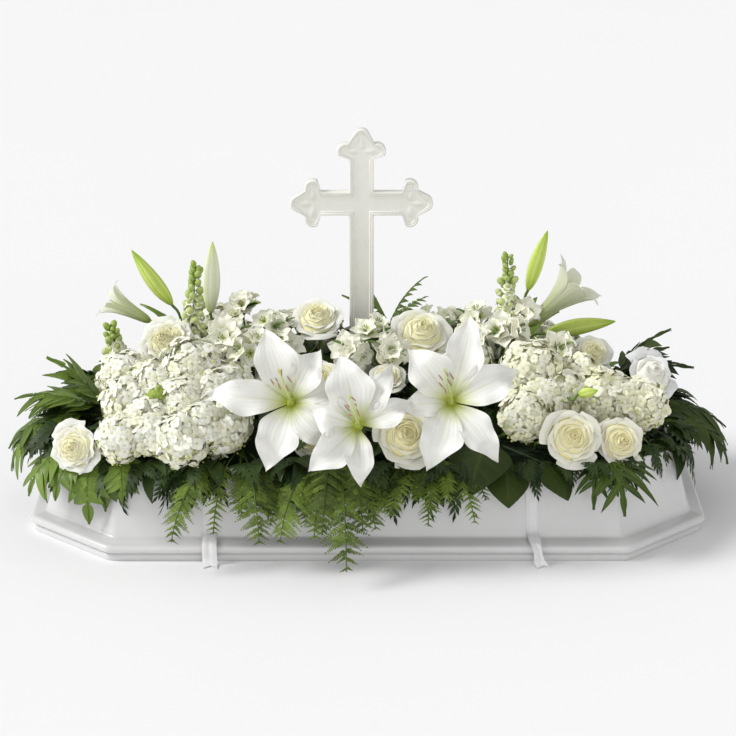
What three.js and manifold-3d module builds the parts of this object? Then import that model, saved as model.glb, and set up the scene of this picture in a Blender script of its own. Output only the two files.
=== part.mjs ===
// White flower arrangement in a long eight-sided box, with a standing cross.
// Millimetres, +Z up. The origin is the centre of the box's underside, and the front faces -Y.

import * as THREE from 'three';
import { ConvexHull } from 'three/addons/math/ConvexHull.js';
import { mergeVertices } from 'three/addons/utils/BufferGeometryUtils.js';
import Module from 'manifold-3d';

const wasm = await Module();
wasm.setup();

// Driving dimensions of the holder
const GAP = 0.3;
const BOX_HALF_LENGTH = 464;
const BOX_HALF_DEPTH = 230;
const CORNER_LENGTH = 114;
const CORNER_DEPTH = 103;
const RIM_HEIGHT = 117;
const RIM_INSET = 44;
const WALL = 6;
const FLOOR_HEIGHT = 12;
const LEDGE_TOP = 28;
const FOAM_SIZE = new THREE.Vector3(744, 256, 101);
const FOAM_TOP = FLOOR_HEIGHT + GAP + FOAM_SIZE.z;

// Driving dimensions of the cross
const CROSS_CENTRE = new THREE.Vector3(-9, 47, 421);
const CROSS_THICKNESS = 14;
const SHAFT_HALF_WIDTH = 17;
const ARM_REACH = 99;
const HEAD_REACH = 106;
const FOOT_REACH = 260;
const LOBE_RADIUS = 12;
const LOBE_OFFSET = 22;
const LOBE_SETBACK = 20;
const BORDER_WIDTH = 6;
const PANEL_DEPTH = 2.5;
const CROSS_BEVEL = 1.6;
const STAKE = { width: 16, depth: 8, top: 246 };

// Driving dimensions shared by the plants
const ROOT_HEIGHT = 78;
const BLADE = 0.9;
const STEM_SIDES = 3;
const SLIVER = 0.08;
const HOLE_RATIO = 1.3;
const HOLE_SPARE = 1.5;
const COLLAR_RISE = 10;
const COLLAR_LEAN = 0.18;
const BED_COLLAR = 121.5;
const STAMEN_SEAT = 10.4;
const BLOOM_SEAT = 5;
const GOLDEN_TURN = Math.PI * (3 - Math.sqrt(5));
const MERGE_DISTANCE = 1e-4;

// Finishes
const finish = (color, roughness) => new THREE.MeshStandardMaterial({ color, roughness, metalness: 0 });
const FINISHES = {
  lacquer: finish(0xf3f2f0, 0.25),
  foam: finish(0x4a6b3c, 0.95),
  pearl: finish(0xe0dfd6, 0.35),
  stake: finish(0xb99b6b, 0.7),
  satin: finish(0xefeeec, 0.4),
  lily: finish(0xf6f5f0, 0.5),
  stamen: finish(0x9aa35a, 0.6),
  rose: finish(0xeee6c8, 0.6),
  ruffled: finish(0xf0edd6, 0.6),
  hydrangea: finish(0xf4f3ea, 0.65),
  smallBloom: finish(0xf3f1e2, 0.6),
  budSpike: finish(0xd5dbb2, 0.6),
  budGreen: finish(0x9bb04a, 0.45),
  fern: finish(0x4c6422, 0.6),
  cutLeaf: finish(0x3f5c22, 0.5),
  darkLeaf: finish(0x2b3716, 0.45),
};

const vec = (x, y, z) => new THREE.Vector3(x, y, z);
const radians = THREE.MathUtils.degToRad;

// A repeatable source of numbers from 0 to 1.
function seeded(seed) {
  let state = seed;
  return () => {
    state = (state * 1664525 + 1013904223) % 4294967296;
    return state / 4294967296;
  };
}

// Solids

// The solid of corner points and of triangles that face outwards.
function solidFrom(points, triangles) {
  const vertProperties = new Float32Array(points.length * 3);
  points.forEach((point, index) => point.toArray(vertProperties, index * 3));
  const triVerts = Uint32Array.from(triangles.flat());
  return new wasm.Manifold(new wasm.Mesh({ numProp: 3, vertProperties, triVerts }));
}

// The solid of an indexed geometry whose faces share their corners.
function solidOfIndexed(geometry) {
  const vertProperties = geometry.attributes.position.array;
  return new wasm.Manifold(new wasm.Mesh({ numProp: 3, vertProperties, triVerts: geometry.index.array }));
}

// The solid of a closed geometry, with its shared corners merged.
function solidOf(geometry) {
  const bare = geometry.clone();
  bare.deleteAttribute('normal');
  bare.deleteAttribute('uv');
  return solidOfIndexed(mergeVertices(bare, MERGE_DISTANCE));
}

// The geometry of a solid.
function geometryOf(solid) {
  const { vertProperties, triVerts } = solid.getMesh();
  const geometry = new THREE.BufferGeometry();
  geometry.setAttribute('position', new THREE.BufferAttribute(Float32Array.from(vertProperties), 3));
  geometry.setIndex(new THREE.BufferAttribute(Uint32Array.from(triVerts), 1));
  return geometry;
}

const carried = (solid, matrix) => solidOfIndexed(geometryOf(solid).applyMatrix4(matrix));
const fused = (solids) => solids.reduce((whole, solid) => whole.add(solid));

// The same solid without the slivers and closed hollows that joins leave behind.
function tidied(solid) {
  return fused(solid.simplify(SLIVER).decompose().filter((body) => body.volume() > 1));
}

// Skins a row of rings that each have as many points, and closes both ends about a point.
function skin(rings, start, end) {
  const count = rings[0].length;
  const points = [...rings.flat(), start, end];
  const first = points.length - 2;
  const last = points.length - 1;
  const top = (rings.length - 1) * count;
  const triangles = [];
  for (let side = 0; side < count; side += 1) {
    const next = (side + 1) % count;
    triangles.push([first, next, side]);
    triangles.push([last, top + side, top + next]);
    for (let ring = 0; ring < rings.length - 1; ring += 1) {
      const low = ring * count;
      const high = low + count;
      triangles.push([low + side, low + next, high + next]);
      triangles.push([low + side, high + next, high + side]);
    }
  }
  return solidFrom(points, triangles);
}

// Thin solid about a surface: both faces carry the same triangles, and a wall closes the rim.
function sheet({ points, triangles }, thickness) {
  const normals = points.map(() => vec(0, 0, 0));
  const edges = new Set();
  const count = points.length;
  for (const [a, b, c] of triangles) {
    const normal = points[b].clone().sub(points[a]).cross(points[c].clone().sub(points[a]));
    [a, b, c].forEach((corner) => normals[corner].add(normal));
    [[a, b], [b, c], [c, a]].forEach(([from, to]) => edges.add(from * count + to));
  }
  normals.forEach((normal) => normal.setLength(thickness / 2));
  const front = points.map((point, index) => point.clone().add(normals[index]));
  const back = points.map((point, index) => point.clone().sub(normals[index]));
  const faces = [];
  for (const [a, b, c] of triangles) {
    faces.push([a, b, c], [a + count, c + count, b + count]);
    for (const [from, to] of [[a, b], [b, c], [c, a]]) {
      if (!edges.has(to * count + from)) {
        faces.push([to, from, from + count], [to, from + count, to + count]);
      }
    }
  }
  return solidFrom([...front, ...back], faces);
}

// Surface on a grid: at(u, v) gives its points for u from 0 to 1 and v from -1 to 1.
function grid(rows, columns, at) {
  const points = [];
  const triangles = [];
  for (let row = 0; row <= rows; row += 1) {
    for (let column = 0; column <= columns; column += 1) {
      points.push(at(row / rows, (2 * column) / columns - 1));
    }
  }
  for (let row = 0; row < rows; row += 1) {
    for (let column = 0; column < columns; column += 1) {
      const corner = row * (columns + 1) + column;
      const above = corner + columns + 1;
      triangles.push([corner, above, above + 1], [corner, above + 1, corner + 1]);
    }
  }
  return { points, triangles };
}

// Stem of one thickness through the given points, with a few flat sides.
function stem(points, radius) {
  const last = points.length - 1;
  let across = points[1].clone().sub(points[0]).cross(vec(0.3, 1, 0.2));
  const rings = points.map((point, place) => {
    const before = points[Math.max(place - 1, 0)];
    const along = points[Math.min(place + 1, last)].clone().sub(before).normalize();
    across = across.clone().addScaledVector(along, -across.dot(along)).normalize();
    const up = along.clone().cross(across);
    return Array.from({ length: STEM_SIDES }, (_, side) => {
      const angle = (2 * Math.PI * side) / STEM_SIDES;
      const reach = across.clone().multiplyScalar(Math.cos(angle)).addScaledVector(up, Math.sin(angle));
      return point.clone().addScaledVector(reach, radius);
    });
  });
  return skin(rings, points[0], points[last]);
}

// Body turned about +Z from start to end. Each ring has a radius and a height, and may have lobes:
// their depth is the share of the radius between them that is lost, and lift is how far they rise. Spin
// turns the whole body.
function turned(rings, sides, start, end, spin = 0) {
  const circles = rings.map(({ r, z, lobes = 0, depth = 0, lift = 0, turn = 0 }) => {
    const circle = [];
    for (let side = 0; side < sides; side += 1) {
      const angle = (2 * Math.PI * side) / sides;
      const wave = lobes ? 0.5 + 0.5 * Math.cos(lobes * (angle - turn)) : 1;
      const reach = r * (1 - depth * (1 - wave));
      circle.push(vec(reach * Math.cos(angle + spin), reach * Math.sin(angle + spin), z + lift * wave));
    }
    return circle;
  });
  return skin(circles, vec(0, 0, start), vec(0, 0, end));
}

// Holder

// Corner points of the box's eight-sided outline, moved in by an inset and set at a height.
function outline(inset, z) {
  const slant = Math.hypot(CORNER_LENGTH, CORNER_DEPTH);
  const frontX = BOX_HALF_LENGTH - CORNER_LENGTH + (inset * (CORNER_LENGTH - slant)) / CORNER_DEPTH;
  const endY = BOX_HALF_DEPTH - CORNER_DEPTH + (inset * (CORNER_DEPTH - slant)) / CORNER_LENGTH;
  const x = BOX_HALF_LENGTH - inset;
  const y = BOX_HALF_DEPTH - inset;
  const quarter = [[x, endY], [frontX, y]];
  const half = [...quarter, ...quarter.map(([px, py]) => [-px, py]).reverse()];
  const whole = [...half, ...half.map(([px, py]) => [-px, -py])];
  return whole.map(([px, py]) => vec(px, py, z));
}

// Box with a two-step plinth, leaning walls and an open top.
function boxSolid() {
  const outside = [[6, 0], [5, 1], [5, 7], [8, 9.5], [8, 11], [2, 12], [0, 14], [0, 19], [4, 23], [15, 25]];
  const wall = [[22, LEDGE_TOP], [RIM_INSET, RIM_HEIGHT - 2], [RIM_INSET + 1.5, RIM_HEIGHT]];
  const inside = [[RIM_INSET + WALL, RIM_HEIGHT], [22 + WALL + 2, FLOOR_HEIGHT]];
  const rings = [...outside, ...wall, ...inside].map(([inset, z]) => outline(inset, z));
  return skin(rings, vec(0, 0, 0), vec(0, 0, FLOOR_HEIGHT));
}

// Block of floral foam, less the holes of the stems.
function foamSolid(holes) {
  const block = new THREE.BoxGeometry(FOAM_SIZE.x, FOAM_SIZE.y, FOAM_SIZE.z);
  block.translate(0, 0, FLOOR_HEIGHT + GAP + FOAM_SIZE.z / 2);
  return holes.reduce((foam, hole) => foam.subtract(hole), solidOf(block));
}

// Outline of the cross about its centre, moved in by an inset. The head and both arms end in three round
// lobes, and the shaft runs down plain into the flowers.
function crossShape(inset) {
  const half = SHAFT_HALF_WIDTH - inset;
  const lobe = LOBE_RADIUS - inset;
  const shape = new THREE.Shape();
  shape.moveTo(half, inset - FOOT_REACH);
  for (const [reach, degrees] of [[ARM_REACH, 0], [HEAD_REACH, 90], [ARM_REACH, 180]]) {
    const turn = radians(degrees);
    const cos = Math.cos(turn);
    const sin = Math.sin(turn);
    const place = (x, y) => [x * cos - y * sin, x * sin + y * cos];
    const tip = reach - LOBE_RADIUS;
    const side = tip - LOBE_SETBACK;
    const neck = side - 0.9 * lobe;
    const lobes = [[side, -LOBE_OFFSET, -120, 20], [tip, 0, -70, 70], [side, LOBE_OFFSET, -20, 120]];
    shape.lineTo(...place(half, -half));
    shape.lineTo(...place(neck, -half));
    for (const [x, y, from, to] of lobes) {
      shape.absarc(...place(x, y), lobe, turn + radians(from), turn + radians(to), false);
    }
    shape.lineTo(...place(neck, half));
  }
  shape.lineTo(-half, -half);
  shape.lineTo(-half, inset - FOOT_REACH);
  shape.closePath();
  return shape;
}

// Cross with bevelled edges and a panel sunk inside a raised border on each face.
function crossSolid() {
  const body = new THREE.ExtrudeGeometry(crossShape(CROSS_BEVEL), {
    depth: CROSS_THICKNESS - 2 * CROSS_BEVEL,
    curveSegments: 2,
    bevelSegments: 1,
    bevelSize: CROSS_BEVEL,
    bevelThickness: CROSS_BEVEL,
  });
  const panel = new THREE.ExtrudeGeometry(crossShape(BORDER_WIDTH), {
    depth: 2 * PANEL_DEPTH,
    curveSegments: 2,
    bevelEnabled: false,
  });
  const front = solidOf(panel.clone().translate(0, 0, CROSS_THICKNESS - CROSS_BEVEL - PANEL_DEPTH));
  const back = solidOf(panel.clone().translate(0, 0, -CROSS_BEVEL - PANEL_DEPTH));
  return solidOf(body).subtract(front).subtract(back);
}

// Ribbon that comes out of the box, turns over the rim and runs down the wall to the floor.
function ribbonSolid({ x, drift, width, twist }) {
  const path = [
    [-171, 92], [-174, 118], [-184, 121], [-189, 114], [-198, 75], [-206.4, 38],
    [-216, 31], [-229, 27.5], [-234, 20], [-236, 8], [-241, 2.5], [-252, 1.2],
  ];
  const curve = new THREE.CatmullRomCurve3(path.map(([y, z]) => vec(0, y, z)), false, 'centripetal');
  const at = (u, v) => {
    const point = curve.getPoint(u);
    const turn = twist * Math.sin(Math.PI * THREE.MathUtils.smoothstep(u, 0.45, 1));
    const side = (v * width) / 2;
    const bowed = point.y - Math.abs(side) * Math.sin(turn);
    return vec(x + drift * u * u + side * Math.cos(turn), bowed, point.z);
  };
  return sheet(grid(13, 1, (u, v) => at(u, -v)), 0.8);
}

// Blooms: each head stands on the origin and opens along +Z

// Half width of a petal blade at u along it: narrow at its root, full past the middle, pointed.
const petalWidth = (u) => Math.max(0.14, Math.sin(Math.PI * u ** 0.82)) * (1 - 0.04 * u) + 0.02;

// Lily with two rings of long petals that bend back, given the turn and reach of each.
function lilyHead({ petals, cup }) {
  const blades = petals.map(([degrees, reach], index) => {
    const inner = index % 2 === 1;
    const half = inner ? 23 : 17;
    const surface = grid(4, 2, (u, v) => {
      const out = 5.5 + (reach - 5.5) * u;
      const keel = (inner ? 5 : 2) * v * v * Math.sin(Math.PI * u);
      const wave = 2 * v * Math.sin(5 * Math.PI * u) * u * u;
      const height = cup * (1 - Math.exp(-out / 34)) - 13 * u ** 3 + (inner ? 3.4 : 0) + keel + wave;
      return vec(out, v * half * petalWidth(u), height);
    });
    const blade = sheet(surface, BLADE);
    return carried(blade, new THREE.Matrix4().makeRotationZ(radians(degrees)));
  });
  const rings = [{ r: 3.2, z: -16 }, { r: 7.4, z: 2 }, { r: 7.4, z: 8.6 }];
  return fused([turned(rings, 6, -18, 9), ...blades]);
}

// Six stamens with anthers and one pistil, spread from the throat of a lily.
function stamenSolid() {
  const needle = (lean, degrees, length, rings) => {
    const circles = rings.map(([share, radius, bow]) => {
      const centre = vec(share * length * Math.sin(lean) + bow, 0, share * length * Math.cos(lean));
      const circle = [0, 1, 2].map((side) => {
        const angle = (2 * Math.PI * side) / 3;
        return centre.clone().add(vec(radius * Math.cos(angle), radius * Math.sin(angle), 0));
      });
      return circle.map((point) => point.applyAxisAngle(vec(0, 0, 1), radians(degrees)));
    });
    const tip = circles[circles.length - 1].reduce((sum, point) => sum.clone().add(point)).divideScalar(3);
    return skin(circles, vec(0, 0, -1), tip.add(vec(0, 0, 1)));
  };
  const filament = [[0, 0.9, 0], [0.82, 0.8, 2], [0.9, 2.6, 3]];
  const stamens = [20, 80, 140, 200, 260, 320].map((degrees) => needle(radians(22), degrees, 58, filament));
  const pistil = needle(radians(5), 50, 66, [[0, 1.3, 0], [0.94, 1.1, 1], [1, 2.8, 1.5]]);
  const disc = turned([{ r: 3.2, z: -1 }, { r: 2.4, z: 1.5 }], 6, -1, 1.5);
  return fused([disc, pistil, ...stamens]);
}

// Rose: rings of five overlapping petals that close in towards the heart. Radius is its half width.
function roseHead({ radius, spin }) {
  const layer = (r, z, depth, lift, phase) => ({
    r: r * radius, z: z * radius, lobes: 5, depth, lift: lift * radius, turn: phase * (Math.PI / 5),
  });
  const rings = [
    { r: 0.12 * radius, z: 0 },
    { r: 0.7 * radius, z: 0.2 * radius },
    layer(1.03, 0.42, 0.16, 0.16, 0),
    { r: 0.7 * radius, z: 0.5 * radius },
    layer(0.82, 0.8, 0.16, 0.14, 1),
    { r: 0.5 * radius, z: 0.66 * radius },
    layer(0.5, 1.06, 0.22, 0.1, 0),
  ];
  return turned(rings, 10, -0.12 * radius, 0.9 * radius, spin);
}

// Ruffled bloom: many frilled petals in three rings.
function ruffledHead({ radius, spin }) {
  const frill = (r, z, phase) => ({
    r: r * radius, z: z * radius, lobes: 7, depth: 0.24, lift: 0.14 * radius, turn: phase * (Math.PI / 7),
  });
  const rings = [
    { r: 0.14 * radius, z: 0 },
    { r: 0.45 * radius, z: 0.18 * radius },
    frill(1.04, 0.42, 0),
    { r: 0.6 * radius, z: 0.52 * radius },
    frill(0.86, 0.74, 1),
    { r: 0.42 * radius, z: 0.66 * radius },
    frill(0.52, 0.94, 0),
  ];
  return turned(rings, 14, -0.12 * radius, 0.8 * radius, spin);
}

// Hydrangea head: a ball whose skin is raised into four-petalled florets, spread evenly over it.
function hydrangeaHead({ radius, seed, florets = 9 }) {
  const random = seeded(seed);
  const directions = [];
  const heights = [];
  const put = (direction, height) => {
    directions.push(direction.normalize());
    heights.push(height);
  };
  for (let floret = 0; floret < florets; floret += 1) {
    const z = 1 - (2 * floret + 1) / florets;
    const around = floret * GOLDEN_TURN;
    const flat = Math.sqrt(1 - z * z);
    const centre = vec(flat * Math.cos(around), flat * Math.sin(around), z);
    const east = vec(-Math.sin(around), Math.cos(around), 0);
    const north = centre.clone().cross(east);
    const spin = random() * (Math.PI / 2);
    put(centre.clone(), 0.93);
    for (let part = 0; part < 8; part += 1) {
      const angle = spin + (part * Math.PI) / 4;
      const petal = part % 2 === 0;
      const spread = petal ? 0.48 : 0.42;
      const offset = east.clone().multiplyScalar(Math.cos(angle)).addScaledVector(north, Math.sin(angle));
      put(centre.clone().addScaledVector(offset, spread), petal ? 0.97 + 0.05 * random() : 0.76);
    }
  }
  const hull = new ConvexHull().setFromPoints(directions);
  const index = new Map(directions.map((direction, place) => [direction, place]));
  const faces = hull.faces.map((face) => {
    const corners = [];
    let edge = face.edge;
    do {
      corners.push(index.get(edge.head().point));
      edge = edge.next;
    } while (edge !== face.edge);
    return corners;
  });
  const fan = ([first, ...rest]) => rest.slice(1).map((corner, place) => [first, rest[place], corner]);
  const points = directions.map((way, place) => way.clone().multiplyScalar(heights[place] * radius));
  points.forEach((point) => point.setZ(point.z + 0.8 * radius));
  return solidFrom(points, faces.flatMap(fan));
}

// Spike of buds in whorls that shrink towards its tip, on a slim core.
function spikeHead({ length, radius }) {
  const whorls = 4;
  const rings = [{ r: 2, z: 0 }];
  for (let whorl = 0; whorl < whorls; whorl += 1) {
    const share = whorl / whorls;
    const reach = radius * (1 - 0.72 * share);
    const turn = (whorl % 2) * (Math.PI / 4);
    const z = length * (share + 0.35 / whorls);
    rings.push({ r: reach, z, lobes: 4, depth: 0.6, turn });
    rings.push({ r: 0.4 * reach + 1, z: z + 0.5 * (length / whorls) });
  }
  return turned(rings, 8, -3, length);
}

// Trumpet of six petals whose pointed tips bend out, seen from its side.
function trumpetHead({ length, mouth, throat = 5 }) {
  const tip = { lobes: 6, depth: 0.34, lift: 0.12 * length };
  const rings = [
    { r: 2.5, z: 0 },
    { r: throat, z: 0.1 * length },
    { r: 1.7 * throat, z: 0.42 * length },
    { r: 0.62 * mouth, z: 0.7 * length },
    { r: mouth, z: 0.86 * length, ...tip },
    { r: 0.56 * mouth, z: 0.76 * length },
    { r: throat, z: 0.45 * length },
  ];
  return turned(rings, 12, -4, 0.3 * length);
}

// Closed bud, slim at its root and pointed.
function budHead({ length, radius }) {
  const rings = [
    { r: 0.35 * radius, z: 0 },
    { r: 0.85 * radius, z: 0.22 * length },
    { r: radius, z: 0.5 * length },
    { r: 0.62 * radius, z: 0.8 * length },
    { r: 0.15 * radius, z: 0.98 * length },
  ];
  return turned(rings, 6, -3, length);
}

// Small bloom of five petals round a low heart.
function starHead({ radius, spin }) {
  const rings = [
    { r: 2, z: 0 },
    { r: radius, z: 0.62 * radius, lobes: 5, depth: 0.56, lift: 0.24 * radius },
  ];
  return turned(rings, 10, -4, 0.34 * radius, spin);
}

// Foliage

// Leaf or frond cut to its rib. Leaflets stand on both sides of the rib from a bare stalk to the tip:
// reach(share) gives how far each stands out, and sweep how much it leans towards the tip.
function cutOutline({ length, bare, pairs, reach, sweep, broad = false, rib = 1.1 }) {
  const step = (length - bare) / pairs;
  const flat = [[0, -rib], [0, rib]];
  const triangles = [];
  const node = (place) => 2 * place;
  for (let pair = 0; pair <= pairs; pair += 1) {
    const half = pair === pairs ? 0.5 : rib;
    flat.push([bare + pair * step, -half], [bare + pair * step, half]);
  }
  for (let place = 0; place <= pairs; place += 1) {
    const low = node(place);
    triangles.push([low, low + 2, low + 3], [low, low + 3, low + 1]);
  }
  for (let pair = 0; pair < pairs; pair += 1) {
    const share = (pair + 0.5) / pairs;
    const out = reach(share);
    const start = bare + pair * step;
    for (const side of [-1, 1]) {
      const low = node(pair + 1) + (side > 0 ? 1 : 0);
      const high = low + 2;
      const tip = flat.length;
      const face = (a, b, c) => triangles.push(side > 0 ? [a, c, b] : [a, b, c]);
      flat.push([start + 0.55 * step + sweep * out, side * (rib + out)]);
      if (broad) {
        flat.push([start + 0.18 * step + 0.42 * sweep * out, side * (rib + 0.52 * out)]);
        flat.push([start + 0.94 * step + 0.5 * sweep * out, side * (rib + 0.55 * out)]);
        face(low, tip + 1, high);
        face(high, tip + 1, tip + 2);
        face(tip + 1, tip, tip + 2);
      } else {
        face(low, tip, high);
      }
    }
  }
  return { flat, triangles };
}

// Plain pointed leaf on a stalk.
function plainOutline({ length, bare, half, rows }) {
  const flat = [[0, -1.1], [0, 1.1]];
  for (let row = 0; row <= rows; row += 1) {
    const share = row / rows;
    const width = row === 0 ? 1.1 : Math.max(0.6, half * Math.sin(Math.PI * share ** 0.8));
    flat.push([bare + (length - bare) * share, -width], [bare + (length - bare) * share, width]);
  }
  const triangles = [];
  for (let row = 0; row <= rows; row += 1) {
    const low = 2 * row;
    triangles.push([low, low + 2, low + 3], [low, low + 3, low + 1]);
  }
  return { flat, triangles };
}

// Lays a flat leaf along an arched rib. It leaves at the rise angle, and between the shares from and to of
// its length it turns down by the bend angle. Its halves fold down.
function arched({ flat, triangles }, { length, rise, bend, from = 0.2, to = 1, fold = 0.2 }) {
  const steps = 48;
  const rib = [vec(0, 0, 0)];
  const bent = (share) => THREE.MathUtils.clamp((share - from) / (to - from), 0, 1);
  const angleAt = (share) => radians(rise - bend * bent(share));
  for (let step = 0; step < steps; step += 1) {
    const angle = angleAt((step + 0.5) / steps);
    const stride = vec(Math.cos(angle), 0, Math.sin(angle)).multiplyScalar(length / steps);
    rib.push(rib[step].clone().add(stride));
  }
  const points = flat.map(([along, across]) => {
    const share = THREE.MathUtils.clamp(along / length, 0, 1.25);
    const place = Math.min(share * steps, steps);
    const low = Math.min(Math.floor(place), steps - 1);
    const point = rib[low].clone().lerp(rib[low + 1], place - low);
    const angle = angleAt(share);
    const beyond = Math.max(0, along - length);
    point.add(vec(Math.cos(angle), 0, Math.sin(angle)).multiplyScalar(beyond));
    const drop = fold * Math.abs(across);
    return point.add(vec(Math.sin(angle) * drop, across, -Math.cos(angle) * drop));
  });
  return { points, triangles };
}

const fernReach = (width) => (share) => width * (1 - share) ** 0.75 * (0.62 + 1.1 * share);
const fingerReach = (width) => (share) => width * (0.45 + 2.2 * share * (1 - share));

// One blade of foliage about its own stalk root, turned by its heading.
function bladeSolid(spec) {
  const { length, bare = 30, pairs = 5, width = 30, sweep = 0.5, kind = 'fern', rows = 4, heading } = spec;
  const outlines = {
    fern: () => cutOutline({ length, bare, pairs, reach: fernReach(width), sweep }),
    finger: () => cutOutline({ length, bare, pairs, reach: fingerReach(width), sweep, broad: true, rib: 3 }),
    plain: () => plainOutline({ length, bare, half: width, rows }),
  };
  const blade = sheet(arched(outlines[kind](), spec), kind === 'fern' ? 0.8 : BLADE);
  return carried(blade, new THREE.Matrix4().makeRotationZ(radians(heading)));
}

// Planting

// Where the stem of a bloom stands in the foam: nearer the middle than the bloom.
function rootUnder([x, y]) {
  const limit = (value, most) => THREE.MathUtils.clamp(value, -most, most);
  return vec(limit(0.82 * x, 352), limit(0.52 * y, 108), ROOT_HEIGHT);
}

// Frame whose origin is a place and whose +Z looks along a direction, with its X kept level.
function looking(at, facing) {
  const z = facing.clone().normalize();
  const level = vec(0, 0, 1).cross(z);
  const x = level.lengthSq() > 1e-6 ? level.normalize() : vec(1, 0, 0);
  const y = z.clone().cross(x);
  return new THREE.Matrix4().makeBasis(x, y, z).setPosition(at);
}

const arrangement = new THREE.Group();
arrangement.name = 'flower_arrangement';
const stemHoles = [];

// Adds a named mesh whose solid is given in the frame of a matrix.
function add(name, solid, material, matrix = new THREE.Matrix4()) {
  const mesh = new THREE.Mesh(geometryOf(tidied(solid)), material);
  mesh.name = name;
  matrix.decompose(mesh.position, mesh.quaternion, mesh.scale);
  arrangement.add(mesh);
  return mesh;
}

// Keeps the straight hole that a stem from foot to collar needs in the foam.
function bore(foot, collar, radius) {
  const spare = foot.clone().sub(collar).setLength(HOLE_SPARE);
  stemHoles.push(stem([foot.clone().add(spare), collar], radius * HOLE_RATIO));
}

// Head on a stem that rises from the foam and arrives along the head's own axis.
function planted(head, { at, facing, root = rootUnder(at), thick = 2.5, reach = 30 }) {
  const base = vec(...at);
  const aim = vec(...facing).normalize();
  const collar = root.clone().lerp(base, COLLAR_LEAN).setZ(FOAM_TOP + COLLAR_RISE);
  const neck = base.clone().addScaledVector(aim, -reach);
  const path = [root, collar, neck, base.clone().addScaledVector(aim, 1)];
  bore(root, collar, thick);
  return stem(path, thick).add(carried(head, looking(base, aim)));
}

// Plants one head, or a bunch of heads that hold together as one body.
function plant(name, material, ...members) {
  const [[, { at, facing }]] = members;
  const frame = looking(vec(...at), vec(...facing));
  const whole = fused(members.map(([head, place]) => planted(head, place)));
  add(name, carried(whole, frame.clone().invert()), material, frame);
}

// Stalk from a fork to a head, which stands on its end.
function stalked(fork, { head, at, facing, reach = 18, thick = 1.7 }) {
  const base = vec(...at);
  const aim = vec(...facing).normalize();
  const neck = base.clone().addScaledVector(aim, -reach);
  const stalk = stem([fork, neck, base.clone().addScaledVector(aim, 1)], thick);
  return head ? stalk.add(carried(head, looking(base, aim))) : stalk;
}

// Plants a stem that forks at its collar into heads and blades, as one body.
function cluster(name, material, { root, collar, thick = 2.5 }, members) {
  const foot = vec(...root, ROOT_HEIGHT);
  const fork = vec(...collar);
  bore(foot, fork, thick);
  const solids = members.map((member) => {
    if (member.kind) {
      return carried(bladeSolid(member), new THREE.Matrix4().setPosition(...(member.on ?? collar)));
    }
    return stalked(fork, member);
  });
  const frame = new THREE.Matrix4().setPosition(foot);
  const whole = fused([stem([foot, fork], thick), ...solids]);
  add(name, carried(whole, frame.clone().invert()), material, frame);
}

// The holder, the cross and the ribbons
add('base_box', boxSolid(), FINISHES.lacquer);

const crossFrame = new THREE.Matrix4().makeRotationX(Math.PI / 2).setPosition(CROSS_CENTRE);
add('cross', crossSolid(), FINISHES.pearl, crossFrame);

const stakeY = CROSS_CENTRE.y + CROSS_BEVEL + GAP + STAKE.depth / 2;
const stakeHeight = STAKE.top - ROOT_HEIGHT;
const stakeGeometry = new THREE.BoxGeometry(STAKE.width, STAKE.depth, stakeHeight);
const stakeFrame = new THREE.Matrix4().setPosition(CROSS_CENTRE.x, stakeY, ROOT_HEIGHT + stakeHeight / 2);
add('cross_stake', solidOf(stakeGeometry), FINISHES.stake, stakeFrame);
const stakeHole = new THREE.BoxGeometry(STAKE.width + 2 * GAP, STAKE.depth + 2 * GAP, stakeHeight + 2 * GAP);
stemHoles.push(carried(solidOf(stakeHole), stakeFrame));

add('ribbon_left', ribbonSolid({ x: -213, drift: 3, width: 20, twist: 0.2 }), FINISHES.satin);
add('ribbon_right', ribbonSolid({ x: 217, drift: 17, width: 18, twist: 0.9 }), FINISHES.satin);

// The three open lilies in front: throat, facing, and the turn and reach of each petal
const LILIES = [
  {
    name: 'lily_left', at: [-100, -205, 218], facing: [-0.05, -0.9, 0.42], root: [-104, -96],
    petals: [[111, 104], [63, 80], [15, 76], [315, 82], [251, 96], [175, 114]],
  },
  {
    name: 'lily_centre', at: [-13, -240, 200], facing: [0.03, -0.93, 0.36], root: [-14, -100],
    petals: [[104, 96], [60, 92], [18, 90], [272, 80], [222, 88], [162, 66]],
  },
  {
    name: 'lily_right', at: [109, -205, 219], facing: [0.04, -0.9, 0.42], root: [112, -96],
    petals: [[76, 118], [24, 98], [307, 100], [249, 96], [186, 70], [128, 90]],
  },
];
for (const { name, at, facing, root, petals } of LILIES) {
  const head = lilyHead({ petals, cup: 32 });
  const place = { at, facing, root: vec(...root, ROOT_HEIGHT), thick: 3, reach: 45 };
  plant(name, FINISHES.lily, [head, place]);
  const throat = looking(vec(...at), vec(...facing));
  const seat = throat.clone().multiply(new THREE.Matrix4().makeTranslation(0, 0, STAMEN_SEAT));
  add(`${name}_stamens`, stamenSolid(), FINISHES.stamen, seat);
}

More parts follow.
